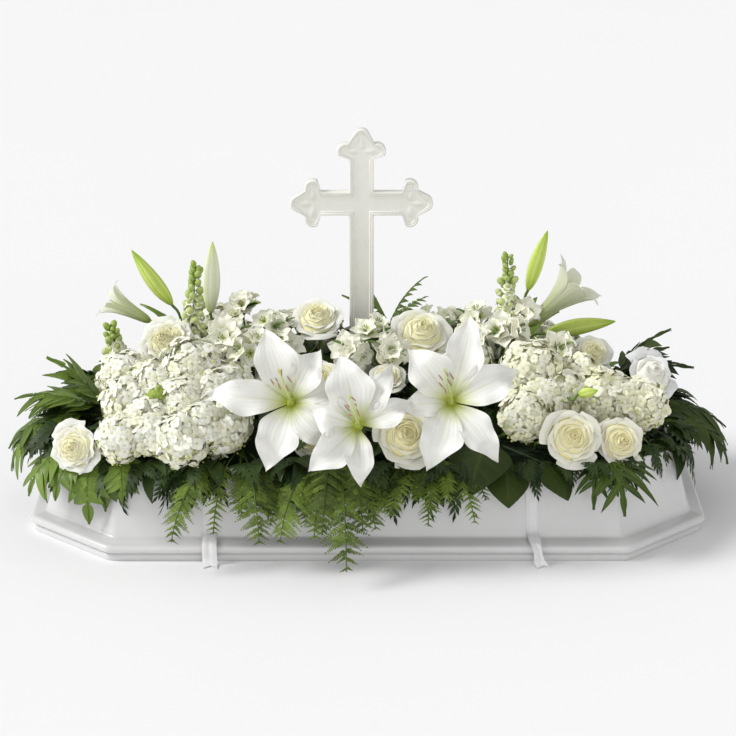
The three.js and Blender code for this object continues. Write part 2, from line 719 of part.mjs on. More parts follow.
// Roses: place of the base of each bloom, the way it looks, and half its width
const ROSES = [
  { name: 'rose_front_centre', at: [49, -172, 156], facing: [0.05, -0.86, 0.5], radius: 36 },
  { name: 'rose_front_left', at: [-74, -150, 146], facing: [-0.2, -0.85, 0.3], radius: 25 },
  { name: 'rose_right_low', at: [270, -182, 157], facing: [0.1, -0.85, 0.5], radius: 34 },
  { name: 'rose_right_end', at: [333, -164, 146], facing: [0.25, -0.85, 0.45], radius: 31 },
  { name: 'rose_right_high', at: [314, 28, 200], facing: [0.2, -0.7, 0.7], radius: 26 },
  { name: 'rose_top_left', at: [-70, 26, 250], facing: [-0.1, -0.5, 0.85], radius: 31 },
  { name: 'rose_top_right', at: [72, -6, 238], facing: [0.1, -0.6, 0.8], radius: 37 },
  { name: 'rose_mid_left', at: [-66, -95, 204], facing: [0.1, -0.7, 0.7], radius: 31 },
  { name: 'rose_mid_right', at: [27, -88, 207], facing: [0, -0.6, 0.8], radius: 21 },
  { name: 'rose_back', at: [0, 116, 192], facing: [0, 0.65, 0.75], radius: 33 },
  { name: 'rose_back_left', at: [-76, 128, 168], facing: [-0.1, 0.8, 0.5], radius: 31 },
  { name: 'rose_back_right', at: [72, 130, 166], facing: [0.1, 0.8, 0.5], radius: 31 },
];
ROSES.forEach(({ name, at, facing, radius }, place) => {
  plant(name, FINISHES.rose, [roseHead({ radius, spin: place }), { at, facing, reach: 22 }]);
});

const RUFFLED = [
  { name: 'ruffled_left_end', at: [-388, -172, 142], facing: [-0.3, -0.85, 0.3], radius: 30 },
  { name: 'ruffled_left', at: [-276, -4, 226], facing: [-0.15, -0.65, 0.75], radius: 34 },
  { name: 'ruffled_right_end', at: [393, -2, 178], facing: [0.3, -0.65, 0.7], radius: 30 },
];
RUFFLED.forEach(({ name, at, facing, radius }, place) => {
  plant(name, FINISHES.ruffled, [ruffledHead({ radius, spin: place }), { at, facing, reach: 22 }]);
});

// Hydrangea bunches: centre and radius of each ball of florets
const HYDRANGEAS = [
  {
    name: 'hydrangeas_left',
    heads: [
      { centre: [-200, -158, 172], radius: 47 },
      { centre: [-296, -140, 172], radius: 50 },
      { centre: [-240, -92, 222], radius: 48 },
      { centre: [-248, -200, 164], radius: 38, aim: [0, -1, 0.2], foot: [-252, -104] },
      { centre: [-330, -186, 160], radius: 34, aim: [-0.1, -1, 0.1], foot: [-326, -100] },
      { centre: [-332, -74, 206], radius: 40 },
    ],
  },
  {
    name: 'hydrangeas_right',
    heads: [
      { centre: [223, -92, 219], radius: 47 },
      { centre: [212, -150, 180], radius: 38 },
      { centre: [312, -96, 184], radius: 44 },
      { centre: [374, -94, 174], radius: 38 },
      { centre: [268, -72, 186], radius: 36 },
    ],
  },
  {
    name: 'hydrangeas_back_left',
    heads: [
      { centre: [-222, 112, 196], radius: 52 },
      { centre: [-290, 92, 176], radius: 42 },
      { centre: [-162, 126, 170], radius: 36 },
    ],
  },
  {
    name: 'hydrangeas_back_right',
    heads: [
      { centre: [212, 114, 194], radius: 52 },
      { centre: [280, 94, 174], radius: 42 },
      { centre: [154, 128, 170], radius: 36 },
    ],
  },
  { name: 'hydrangea_mid_left', heads: [{ centre: [-122, -44, 196], radius: 34 }] },
  { name: 'hydrangea_mid_centre', heads: [{ centre: [-24, -38, 184], radius: 27 }] },
  { name: 'hydrangea_mid_right', heads: [{ centre: [124, -56, 204], radius: 36 }] },
];
let headsMade = 0;
for (const { name, heads } of HYDRANGEAS) {
  const members = heads.map(({ centre, radius, aim: given, foot }) => {
    const middle = vec(...centre);
    const root = foot ? vec(...foot, ROOT_HEIGHT) : rootUnder(centre);
    const aim = given ? vec(...given).normalize() : middle.clone().sub(root).normalize();
    const at = middle.clone().addScaledVector(aim, -0.8 * radius).toArray();
    headsMade += 1;
    const head = hydrangeaHead({ radius, seed: 10 + headsMade });
    return [head, { at, facing: aim.toArray(), root, thick: 3, reach: 6 }];
  });
  plant(name, FINISHES.hydrangea, ...members);
}

// Lily stems at the back of each side: green stems with leaves and buds, and the blooms that they carry
cluster('lily_spray_left', FINISHES.budGreen, { root: [-244, 32], collar: [-258, 44, 215], thick: 3 }, [
  { head: budHead({ length: 98, radius: 11 }), at: [-276, 50, 269], facing: [-0.56, 0, 0.83] },
  { head: budHead({ length: 106, radius: 12 }), at: [-222, 45, 259], facing: [0.05, 0, 1] },
  { at: [-303, 45, 244], facing: [-0.86, 0, 0.5] },
  { kind: 'plain', heading: 150, length: 92, bare: 8, width: 8, rise: 50, bend: 50, fold: 0.3 },
  { kind: 'plain', heading: 60, length: 88, bare: 8, width: 8, rise: 60, bend: 40, fold: 0.3 },
]);
const LILY_BLOOMS = [
  {
    name: 'lily_half_open_left', at: [-303, 45, 244], facing: [-0.86, 0, 0.5],
    head: trumpetHead({ length: 76, mouth: 24, throat: 5.5 }),
  },
  {
    name: 'lily_trumpet_right', at: [222.5, 45, 236.5], facing: [0.72, 0, 0.68],
    head: trumpetHead({ length: 108, mouth: 36, throat: 7 }),
  },
];
for (const { name, at, facing, head } of LILY_BLOOMS) {
  const aim = vec(...facing).normalize();
  add(name, head, FINISHES.lily, looking(vec(...at).addScaledVector(aim, BLOOM_SEAT + GAP), aim));
}
cluster('lily_spray_right', FINISHES.budGreen, { root: [196, 34], collar: [212, 52, 200], thick: 3 }, [
  { head: budHead({ length: 92, radius: 10 }), at: [225, 55, 289], facing: [0.28, 0, 0.96] },
  { head: budHead({ length: 102, radius: 12 }), at: [251, 60, 223], facing: [0.98, 0, 0.18], thick: 2 },
  { at: [222.5, 45, 236.5], facing: [0.72, 0, 0.68] },
  { kind: 'plain', heading: 40, length: 96, bare: 8, width: 8, rise: 50, bend: 60, fold: 0.3 },
  { kind: 'plain', heading: 170, length: 84, bare: 8, width: 8, rise: 60, bend: 40, fold: 0.3 },
]);

// Spikes of stock buds
const SPIKES = [
  { name: 'stock_left', at: [-247, 20, 228], facing: [0.07, 0, 1], length: 116, radius: 15 },
  { name: 'stock_right', at: [193, 8, 262], facing: [0, 0, 1], length: 98, radius: 14 },
  { name: 'stock_left_low', at: [-352, 22, 188], facing: [-0.1, -0.2, 1], length: 70, radius: 16 },
];
for (const { name, at, facing, length, radius } of SPIKES) {
  plant(name, FINISHES.budSpike, [spikeHead({ length, radius }), { at, facing, thick: 2 }]);
}

// Sprays of small blooms between the large ones
const star = (radius, at, facing) => ({ head: starHead({ radius, spin: at[0] }), at, facing });
cluster('small_blooms_left', FINISHES.smallBloom, { root: [-160, 4], collar: [-166, 2, 190] }, [
  star(28, [-196, -18, 246], [-0.2, -0.7, 0.7]),
  star(25, [-158, -38, 236], [0, -0.7, 0.7]),
  star(24, [-134, 8, 252], [0.2, -0.3, 1]),
  star(22, [-176, 22, 274], [-0.1, -0.4, 1]),
  star(22, [-112, -12, 226], [0.3, -0.5, 0.8]),
]);
cluster('small_blooms_centre', FINISHES.smallBloom, { root: [24, -20], collar: [20, -22, 200] }, [
  star(24, [-26, -50, 236], [-0.3, -0.7, 0.6]),
  star(23, [30, -58, 236], [0.2, -0.8, 0.6]),
  star(22, [2, -28, 254], [0, -0.4, 1]),
]);
cluster('small_blooms_right', FINISHES.smallBloom, { root: [176, -28], collar: [182, -10, 190] }, [
  star(25, [186, -22, 252], [-0.1, -0.7, 0.7]),
  star(24, [258, -22, 226], [0.3, -0.6, 0.7]),
  star(24, [146, -34, 246], [-0.3, -0.6, 0.7]),
  star(22, [218, 10, 268], [0.2, -0.5, 0.9]),
  star(21, [156, 12, 262], [-0.2, -0.2, 1]),
]);
cluster('small_blooms_back_left', FINISHES.smallBloom, { root: [-88, 72], collar: [-92, 74, 178] }, [
  star(25, [-118, 84, 226], [-0.2, 0.7, 0.7]),
  star(24, [-64, 90, 222], [0.1, 0.7, 0.7]),
  star(22, [-90, 58, 240], [0, 0.2, 1]),
]);
cluster('small_blooms_back_right', FINISHES.smallBloom, { root: [88, 72], collar: [92, 74, 178] }, [
  star(25, [118, 84, 226], [0.2, 0.7, 0.7]),
  star(24, [64, 90, 222], [-0.1, 0.7, 0.7]),
  star(22, [92, 56, 240], [0, 0.2, 1]),
]);

// Sprig with narrow leaflets behind the cross
cluster('sprig_centre', FINISHES.darkLeaf, { root: [26, 66], collar: [30, 66, 232], thick: 1.8 }, [
  { kind: 'fern', heading: 0, length: 86, bare: 8, pairs: 6, width: 18, rise: 68, bend: 30, sweep: 0.8 },
  { kind: 'fern', heading: 32, length: 70, bare: 8, pairs: 5, width: 15, rise: 40, bend: 30, sweep: 0.8 },
]);

// Fern fronds that lie over the rim and hang outside the walls, in bunches that share a root
const over = { kind: 'fern', rise: 3, from: 0.32, fold: 0.15 };
const bedLeaf = {
  kind: 'plain', rows: 3, length: 104, bare: 20, width: 19, rise: 8, bend: 16, from: 0.1, fold: 0.2,
};
const FERNS = [
  {
    name: 'fern_front_left', root: [-176, -88], collar: [-174, -118, BED_COLLAR],
    blades: [
      { heading: -122, length: 200, bare: 82, width: 36, bend: 68 },
      { heading: -108, length: 206, bare: 80, width: 24, bend: 78 },
      { heading: -90, length: 176, bare: 76, width: 30, bend: 76 },
      { heading: -79, length: 200, bare: 76, width: 34, bend: 80 },
    ],
  },
  {
    name: 'fern_front_centre', root: [-46, -88], collar: [-42, -118, BED_COLLAR],
    blades: [
      { heading: -123, length: 186, bare: 86, width: 30, bend: 70 },
      { heading: -116, length: 206, bare: 78, width: 40, bend: 82 },
      { heading: -101, length: 188, bare: 76, width: 36, bend: 84 },
      { heading: -86, length: 252, bare: 74, width: 44, bend: 84, pairs: 8 },
      { heading: -72, length: 188, bare: 78, width: 30, bend: 60 },
    ],
  },
  {
    name: 'fern_front_right', root: [92, -88], collar: [96, -118, BED_COLLAR],
    blades: [
      { heading: -114, length: 178, bare: 76, width: 28, bend: 46 },
      { heading: -94, length: 184, bare: 74, width: 32, bend: 52 },
      { heading: -70, length: 180, bare: 76, width: 28, bend: 56 },
    ],
  },
  {
    name: 'fern_back_left', root: [-150, 84], collar: [-150, 106, BED_COLLAR],
    blades: [
      { heading: 118, length: 204, bare: 96, width: 40, bend: 78 },
      { heading: 98, length: 208, bare: 84, width: 38, bend: 80 },
      { heading: 72, length: 206, bare: 86, width: 38, bend: 80 },
      { ...bedLeaf, heading: 172 },
      { ...bedLeaf, heading: 12 },
    ],
  },
  {
    name: 'fern_back_right', root: [140, 84], collar: [140, 106, BED_COLLAR],
    blades: [
      { ...bedLeaf, heading: 168 },
      { ...bedLeaf, heading: 8 },
      { heading: 108, length: 206, bare: 86, width: 38, bend: 80 },
      { heading: 82, length: 208, bare: 84, width: 38, bend: 80 },
      { heading: 62, length: 204, bare: 96, width: 40, bend: 78 },
    ],
  },
];
for (const { name, root, collar, blades } of FERNS) {
  cluster(name, FINISHES.fern, { root, collar }, blades.map((blade) => ({ ...over, ...blade })));
}

// Large cut leaves at both ends, and broad leaves in front
const cut = { kind: 'finger', pairs: 4, sweep: 0.7, fold: 0.12 };
const broadLeaf = { kind: 'plain', from: 0.3, fold: 0.16 };
const LEAVES = [
  {
    name: 'leaves_left_end', root: [-350, -8], collar: [-366, -8, 124], material: FINISHES.cutLeaf,
    blades: [
      { ...cut, heading: 193, length: 156, bare: 46, width: 42, rise: 8, bend: 66, from: 0.3 },
      { ...cut, heading: 178, length: 138, bare: 30, width: 40, rise: 30, bend: 50 },
      { ...cut, heading: 170, length: 122, bare: 24, width: 34, rise: 60, bend: 40, pairs: 3 },
      { ...cut, heading: 146, length: 140, bare: 34, width: 38, rise: 20, bend: 62, pairs: 3 },
      { ...cut, heading: 118, length: 128, bare: 30, width: 34, rise: 26, bend: 56, pairs: 3 },
    ],
  },
  {
    name: 'leaves_left_low', root: [-330, -84], collar: [-344, -96, BED_COLLAR], material: FINISHES.cutLeaf,
    blades: [
      { ...cut, heading: 210, length: 162, bare: 66, width: 38, rise: 4, bend: 84, from: 0.36 },
      { ...cut, heading: 232, length: 150, bare: 76, width: 26, rise: 3, bend: 88, from: 0.42, pairs: 3 },
      {
        ...cut, heading: 253, length: 176, bare: 78, width: 26, rise: 2, bend: 96, from: 0.4, to: 0.75,
        pairs: 3,
      },
      { ...cut, heading: 278, length: 152, bare: 92, width: 22, rise: 4, bend: 90, from: 0.5, pairs: 3 },
    ],
  },
  {
    name: 'leaves_right_end', root: [350, 2], collar: [366, 2, 124], material: FINISHES.darkLeaf,
    blades: [
      { ...cut, heading: -22, length: 156, bare: 42, width: 42, rise: 8, bend: 62, from: 0.3 },
      { ...cut, heading: 4, length: 152, bare: 40, width: 44, rise: 10, bend: 58, from: 0.3 },
      { ...cut, heading: 34, length: 148, bare: 36, width: 40, rise: 12, bend: 58, pairs: 3 },
      { ...cut, heading: 62, length: 128, bare: 30, width: 34, rise: 22, bend: 56, pairs: 3 },
    ],
  },
  {
    name: 'leaves_right_low', root: [304, -84], collar: [314, -112, BED_COLLAR], material: FINISHES.cutLeaf,
    blades: [
      { ...cut, heading: -97, length: 146, bare: 74, width: 32, rise: 3, bend: 70, from: 0.44, pairs: 3 },
      { ...cut, heading: -80, length: 158, bare: 72, width: 44, rise: 3, bend: 76, from: 0.44, pairs: 3 },
    ],
  },
  {
    name: 'leaves_right_high', root: [332, 58], collar: [350, 62, 140], material: FINISHES.darkLeaf,
    blades: [
      { ...cut, heading: -14, length: 128, bare: 20, width: 28, rise: 66, bend: 40, pairs: 3 },
      { ...cut, heading: -8, length: 124, bare: 34, width: 28, rise: 36, bend: 46, pairs: 3 },
      { ...cut, heading: 30, length: 112, bare: 24, width: 26, rise: 44, bend: 50, pairs: 3 },
    ],
  },
  {
    name: 'leaves_broad_front', root: [176, -84], collar: [182, -112, BED_COLLAR],
    material: FINISHES.darkLeaf,
    blades: [
      { ...broadLeaf, heading: -108, length: 148, bare: 72, width: 27, rise: 5, bend: 62 },
      { ...broadLeaf, heading: -88, length: 138, bare: 70, width: 24, rise: 4, bend: 64 },
      { ...broadLeaf, heading: -54, length: 156, bare: 102, width: 22, rise: 2, bend: 66, from: 0.52 },
    ],
  },
];
for (const { name, root, collar, material, blades } of LEAVES) {
  cluster(name, material, { root, collar }, blades);
}

add('floral_foam', foamSolid(stemHoles), FINISHES.foam);

export default arrangement;
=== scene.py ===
"""White flower arrangement with a standing cross, in a long eight-sided box.

The shapes are worked out in millimetres in the part's own frame, with +Z up and the front facing -Y, and
are put into the scene in metres. Each bloom, spray, frond and leaf replaces the node of the same name.
"""

import logging
import math
from dataclasses import dataclass, fields, replace
from enum import Enum
from typing import Callable, Optional, Sequence

import bpy
import numpy as np
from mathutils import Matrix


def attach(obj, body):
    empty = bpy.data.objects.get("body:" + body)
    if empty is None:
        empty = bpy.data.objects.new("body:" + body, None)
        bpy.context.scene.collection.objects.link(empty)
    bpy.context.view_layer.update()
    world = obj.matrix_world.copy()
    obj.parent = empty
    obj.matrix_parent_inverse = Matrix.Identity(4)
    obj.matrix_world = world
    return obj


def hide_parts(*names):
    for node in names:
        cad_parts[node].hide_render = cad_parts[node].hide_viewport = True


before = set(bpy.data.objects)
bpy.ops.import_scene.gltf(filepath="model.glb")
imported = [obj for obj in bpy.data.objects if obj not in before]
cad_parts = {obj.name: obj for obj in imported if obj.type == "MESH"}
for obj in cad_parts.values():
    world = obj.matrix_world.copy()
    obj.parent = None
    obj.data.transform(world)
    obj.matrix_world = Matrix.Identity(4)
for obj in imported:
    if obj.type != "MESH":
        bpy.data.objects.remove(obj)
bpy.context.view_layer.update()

LOG = logging.getLogger("flower_arrangement")

Array = np.ndarray
Point = tuple[float, float, float]

METRES = 0.001
FULL_TURN = 2.0 * math.pi
GOLDEN_TURN = math.pi * (3.0 - math.sqrt(5.0))

# Levels that the stems, the stamens and the half-open blooms share
ROOT_HEIGHT = 78.0
COLLAR_HEIGHT = 123.3
BED_COLLAR = 121.5
STAMEN_SEAT = 10.4
BLOOM_SEAT = 5.3

# How far from the middle a stem may stand in the foam
ROOT_LIMIT_X = 352.0
ROOT_LIMIT_Y = 108.0

# Points along a stalk, and a way that no stem runs along
STALK_POINTS = 12
TUBE_GUIDE = (0.31, 1.0, 0.23)

# Numbers of the finishes in a piece that has stems or greens beside its blooms
FIRST, SECOND, THIRD, FOURTH = range(4)


# Values and shapes


def ramp(value: Array, low: float, high: float) -> Array:
    """Smooth step from 0 at low to 1 at high.

    Args:
        value: Numbers to read.
        low: Where the step starts.
        high: Where the step ends.

    Returns:
        The stepped numbers, 3 t^2 - 2 t^3 of the clipped share t.
    """
    share = np.clip((value - low) / (high - low), 0.0, 1.0)
    return share * share * (3.0 - 2.0 * share)


def arch(share: Array) -> Array:
    """Half a sine wave: 0 where the share is 0 or 1, and 1 where it is a half."""
    return np.sin(math.pi * share)


def circle(sides: int) -> Array:
    """Angles of evenly spaced points round a circle."""
    return np.linspace(0.0, FULL_TURN, sides, endpoint=False)


def unit(vectors: Array | Sequence[float]) -> Array:
    """The vectors on the last axis, at unit length."""
    vectors = np.asarray(vectors, float)
    return vectors / np.maximum(np.linalg.norm(vectors, axis=-1, keepdims=True), 1e-12)


def polar(reach: Array | float, angle: Array, height: Array | float) -> Array:
    """Points at a reach, an angle about +Z and a height, with X, Y and Z on the last axis."""
    return np.stack(np.broadcast_arrays(reach * np.cos(angle), reach * np.sin(angle), height), axis=-1)


def spans(rows: int, columns: int) -> tuple[Array, Array]:
    """The two parameters of a petal or leaf on a grid.

    Args:
        rows: Points from root to tip.
        columns: Points from side to side.

    Returns:
        u from 0 at the root to 1 at the tip, and v from -1 to 1 across, both of shape (rows, columns).
    """
    return np.meshgrid(np.linspace(0.0, 1.0, rows), np.linspace(-1.0, 1.0, columns), indexing="ij")


def turned_over(faces: Array) -> Array:
    """The same faces with their corners in the other order, so that they face the other way."""
    triangle = (faces[:, 2] == faces[:, 3])[:, None]
    return np.where(triangle, faces[:, [0, 2, 1, 1]], faces[:, [0, 3, 2, 1]])


@dataclass(frozen=True)
class Shape:
    """A mesh in the making: points, faces of four corners where a triangle repeats its last, the values
    along, across and tint that its finishes read at each point, and the number of each face's finish."""

    points: Array
    faces: Array
    along: Array
    across: Array
    tint: Array
    part: Array

    @staticmethod
    def joined(shapes: Sequence["Shape"]) -> "Shape":
        """Puts several shapes into one.

        Args:
            shapes: The shapes.

        Returns:
            One shape with all their points and faces, in the same order.
        """
        starts = np.cumsum([0] + [len(shape.points) for shape in shapes[:-1]])
        moved = [replace(shape, faces=shape.faces + start) for shape, start in zip(shapes, starts)]
        names = [item.name for item in fields(Shape)]
        return Shape(*(np.concatenate([getattr(shape, name) for shape in moved]) for name in names))

    def at(self, points: Array) -> "Shape":
        """The same shape with its points moved to new places."""
        return replace(self, points=points)

    def placed(self, matrix: Array) -> "Shape":
        """The shape carried by a 4 by 4 matrix."""
        return self.at(self.points @ matrix[:3, :3].T + matrix[:3, 3])

    def scaled(self, size: float | Sequence[float]) -> "Shape":
        """The shape scaled about the origin, evenly or by a share for each axis."""
        return self.at(self.points * size)

    def moved(self, offset: Array) -> "Shape":
        """The shape moved by an offset."""
        return self.at(self.points + offset)

    def wearing(self, part: int, tint: Optional[float] = None) -> "Shape":
        """The shape in another of its piece's finishes, and in another tint."""
        shade = self.tint if tint is None else np.full(len(self.points), tint)
        return replace(self, tint=shade, part=np.full(len(self.faces), part))

    def rooted(self, along: float = 0.0) -> "Shape":
        """The shape with one value of along at all its points, such as 0 at the root."""
        return replace(self, along=np.full(len(self.points), along))

    def repeated(self, matrices: Array, tints: Optional[Array] = None) -> "Shape":
        """Copies of the shape, one for each matrix.

        Args:
            matrices: Places of the copies, of shape (copies, 4, 4).
            tints: The tint of each copy, or none to keep the shape's own.

        Returns:
            All the copies as one shape.
        """
        copies, count = len(matrices), len(self.points)
        points = np.einsum("kij,nj->kni", matrices[:, :3, :3], self.points) + matrices[:, None, :3, 3]
        faces = self.faces[None] + (np.arange(copies) * count)[:, None, None]
        tint = np.tile(self.tint, copies) if tints is None else np.repeat(tints, count)
        along, across, part = (np.tile(values, copies) for values in (self.along, self.across, self.part))
        return Shape(points.reshape(-1, 3), faces.reshape(-1, 4), along, across, tint, part)

    def normals(self) -> Array:
        """Unit normals of the points.

        Returns:
            An array of shape (n, 3): the sum of the area vectors of the faces round each point, made unit.
        """
        a, b, c, d = (self.points[self.faces[:, corner]] for corner in range(4))
        facing = np.cross(c - a, d - b)
        total = np.zeros_like(self.points)
        for corner in range(4):
            np.add.at(total, self.faces[:, corner], facing)
        return unit(total)

    def shelled(self, thickness: float) -> "Shape":
        """Thin closed body about an open surface.

        Args:
            thickness: Its thickness.

        Returns:
            Both faces, half the thickness off the surface along its normals, and a wall along the rim.
        """
        count = len(self.points)
        offset = self.normals() * (thickness / 2.0)
        start, end = self.faces.ravel(), np.roll(self.faces, -1, axis=1).ravel()
        part = np.repeat(self.part, 4)
        real = start != end
        start, end, part = start[real], end[real], part[real]
        rim = ~np.isin(start * count + end, end * count + start)
        start, end = start[rim], end[rim]
        walls = np.stack([end, start, start + count, end + count], axis=1)
        return Shape(
            np.concatenate([self.points + offset, self.points - offset]),
            np.concatenate([self.faces, turned_over(self.faces) + count, walls]),
            *(np.tile(values, 2) for values in (self.along, self.across, self.tint)),
            np.concatenate([self.part, self.part, part[rim]]),
        )


def lattice(points: Array, wrap: bool = False, outward: bool = False, tint: float = 0.0) -> Shape:
    """Surface through a grid of points.

    Args:
        points: The grid, of shape (rows, columns, 3).
        wrap: Whether the last column joins the first.
        outward: Whether to turn the faces over.
        tint: The tint of the whole surface.

    Returns:
        Its quads. They face along rows cross columns, or the other way if outward.
    """
    rows, columns = points.shape[:2]
    index = np.arange(rows * columns).reshape(rows, columns)
    if wrap:
        index = np.concatenate([index, index[:, :1]], axis=1)
    corners = (index[:-1, :-1], index[1:, :-1], index[1:, 1:], index[:-1, 1:])
    faces = np.stack(corners, axis=-1).reshape(-1, 4)
    return Shape(
        points.reshape(-1, 3), turned_over(faces) if outward else faces,
        *(values.ravel() for values in spans(rows, columns)),
        np.full(rows * columns, tint), np.zeros(len(faces), dtype=int),
    )


def surface(x: Array, y: Array, z: Array, outward: bool = False, tint: float = 0.0) -> Shape:
    """Surface through grids of X, Y and Z, as lattice makes it."""
    return lattice(np.stack(np.broadcast_arrays(x, y, z), axis=-1), outward=outward, tint=tint)


def closed_rings(rings: Array, start: Array, end: Array, tint: float = 0.0) -> Shape:
    """Closed body through rings of points, with both ends drawn to a point.

    Args:
        rings: The rings, of shape (rings, sides, 3), that turn anticlockwise about the way to the end.
        start: Point that closes the first ring.
        end: Point that closes the last ring.
        tint: The tint of the whole body.

    Returns:
        The body, whose faces point outwards.
    """
    rows, sides = rings.shape[:2]
    wall = lattice(rings, wrap=True, outward=True)
    index = np.arange(sides)
    after = (index + 1) % sides
    first, last, top = rows * sides, rows * sides + 1, (rows - 1) * sides
    low = np.stack([np.full(sides, first), after, index, index], axis=1)
    high = np.stack([np.full(sides, last), top + index, top + after, top + after], axis=1)
    return Shape(
        np.concatenate([wall.points, start[None], end[None]]), np.concatenate([wall.faces, low, high]),
        np.append(wall.along, [0.0, 1.0]), np.append(wall.across, [0.0, 0.0]), wall.tint, wall.part,
    ).wearing(FIRST, tint)


def turned(profile: Sequence[tuple[float, float]], sides: int, lobes: int = 0, depth: float = 0.0) -> Shape:
    """Closed body turned about +Z.

    Args:
        profile: Radius and height of each ring, with the two ends first and last at radius 0.
        sides: Points round each ring.
        lobes: Number of lobes round it.
        depth: Share of the radius that is lost between the lobes.

    Returns:
        The body: a ring's radius is r (1 - depth (1 - w)), where w is the raised cosine of the lobes.
    """
    radii, heights = (np.array(values, float) for values in zip(*profile))
    turn = circle(sides)
    wave = 0.5 + 0.5 * np.cos(lobes * turn) if lobes else np.ones(sides)
    rings = polar(radii[1:-1, None] * (1.0 - depth * (1.0 - wave)), turn, heights[1:-1, None])
    return closed_rings(rings, np.array([0.0, 0.0, heights[0]]), np.array([0.0, 0.0, heights[-1]]))


def smooth_path(corners: Array, count: int) -> Array:
    """Soft path through the corners of a line: a Catmull-Rom curve sampled evenly in its parameter.

    Args:
        corners: The corners, of shape (n, 3).
        count: Number of points to return.

    Returns:
        The points, the first and last of them on the line's ends.
    """
    ends = np.concatenate([[2 * corners[0] - corners[1]], corners, [2 * corners[-1] - corners[-2]]])
    place = np.linspace(0.0, len(corners) - 1.0, count)
    low = np.minimum(place.astype(int), len(corners) - 2)
    t = (place - low)[:, None]
    a, b, c, d = (ends[low + step] for step in range(4))
    return 0.5 * (2 * b + (c - a) * t + (2 * a - 5 * b + 4 * c - d) * t**2 + (3 * b - a - 3 * c + d) * t**3)


def tube(path: Array, radius: Array | float, sides: int = 8, tint: float = 0.0) -> Shape:
    """Closed tube along a path.

    Args:
        path: Its middle line, of shape (n, 3).
        radius: One radius, or one for each point.
        sides: Points round it.
        tint: Its tint.

    Returns:
        The tube. Each ring lies square to the path, turned so that the rings don't twist.
    """
    along = unit(np.gradient(path, axis=0))
    guide = np.cross(along.mean(axis=0), TUBE_GUIDE)
    across = unit(guide - (along @ guide)[:, None] * along)
    up = np.cross(along, across)
    turn = circle(sides)[:, None]
    ring = across[:, None] * np.cos(turn) + up[:, None] * np.sin(turn)
    reach = np.broadcast_to(np.asarray(radius, float), (len(path),))[:, None, None]
    return closed_rings(path[:, None] + reach * ring, path[0], path[-1], tint)


def placings(x: Array, y: Array, z: Array, at: Array) -> Array:
    """Places with given axes.

    Args:
        x: X axes, of shape (k, 3).
        y: Y axes, of shape (k, 3).
        z: Z axes, of shape (k, 3).
        at: Origins, of shape (k, 3) or (3,).

    Returns:
        Matrices of shape (k, 4, 4).
    """
    matrices = np.tile(np.eye(4), (len(x), 1, 1))
    matrices[:, :3] = np.stack([x, y, z, np.broadcast_to(at, x.shape)], axis=2)
    return matrices


def frames(at: Array, facing: Array, spin: Array | float = 0.0, size: Array | float = 1.0) -> Array:
    """Places whose +Z looks along a direction, with X level before the spin.

    Args:
        at: Origins, of shape (k, 3).
        facing: Directions, of shape (k, 3).
        spin: Turns about the direction, in radians.
        size: Scales.

    Returns:
        Matrices of shape (k, 4, 4).
    """
    z = unit(np.atleast_2d(facing))
    level = np.stack([-z[:, 1], z[:, 0], np.zeros(len(z))], axis=1)
    upright = np.linalg.norm(level, axis=1, keepdims=True) <= 1e-3
    x = np.where(upright, [[1.0, 0.0, 0.0]], unit(level))
    y = np.cross(z, x)
    spin, size = (np.broadcast_to(np.asarray(value, float), (len(z),))[:, None] for value in (spin, size))
    c, s = np.cos(spin), np.sin(spin)
    return placings((x * c + y * s) * size, (y * c - x * s) * size, z * size, np.asarray(at, float))


def turn_about_z(degrees: float) -> Array:
    """Turn about +Z.

    Args:
        degrees: The angle in degrees.

    Returns:
        A matrix of shape (4, 4).
    """
    c, s = math.cos(math.radians(degrees)), math.sin(math.radians(degrees))
    matrix = np.eye(4)
    matrix[:2, :2] = [[c, -s], [s, c]]
    return matrix


def root_under(at: Point) -> Array:
    """Where the stem of a bloom stands in the foam: nearer the middle than the bloom."""
    x = np.clip(0.82 * at[0], -ROOT_LIMIT_X, ROOT_LIMIT_X)
    return np.array([x, np.clip(0.52 * at[1], -ROOT_LIMIT_Y, ROOT_LIMIT_Y), ROOT_HEIGHT])


def stem_to(at: Array, facing: Array, root: Array, thick: float, reach: float) -> Shape:
    """Stem that rises from the foam and arrives along a head's own axis.

    Args:
        at: Base of the head.
        facing: The way the head looks.
        root: Foot of the stem in the foam.
        thick: Radius of the stem.
        reach: Length of its straight neck.

    Returns:
        A tube on a soft path from the foot over the collar, a straight run in its hole, to the head.
    """
    aim = unit(facing)
    collar = root + 0.18 * (at - root)
    collar[2] = COLLAR_HEIGHT
    bend = smooth_path(np.array([collar, at - reach * aim, at + aim]), 14)
    path = np.concatenate([np.linspace(root, collar, 4)[:-1], bend])
    return tube(path, thick * (1.0 + 0.5 * ramp(np.linspace(0.0, 1.0, len(path)), 0.85, 1.0)))


def stalk_path(fork: Array, base: Array, aim: Array, reach: float, over: float = 0.0) -> Array:
    """Soft path from a fork to just over the base of a head, where it runs along the head's own axis."""
    return smooth_path(np.array([fork, base - reach * aim, base + over * aim]), STALK_POINTS)


@dataclass(frozen=True)
class Headed:
    """A bloom that stands at a place and looks along a direction."""

    name: str
    at: Point
    facing: Point

    def seat(self, ahead: float = 0.0) -> Array:
        """Matrix of a part that stands ahead of the bloom's base, along its facing."""
        aim = unit(self.facing)
        return frames(np.array(self.at) + ahead * aim, aim)[0]


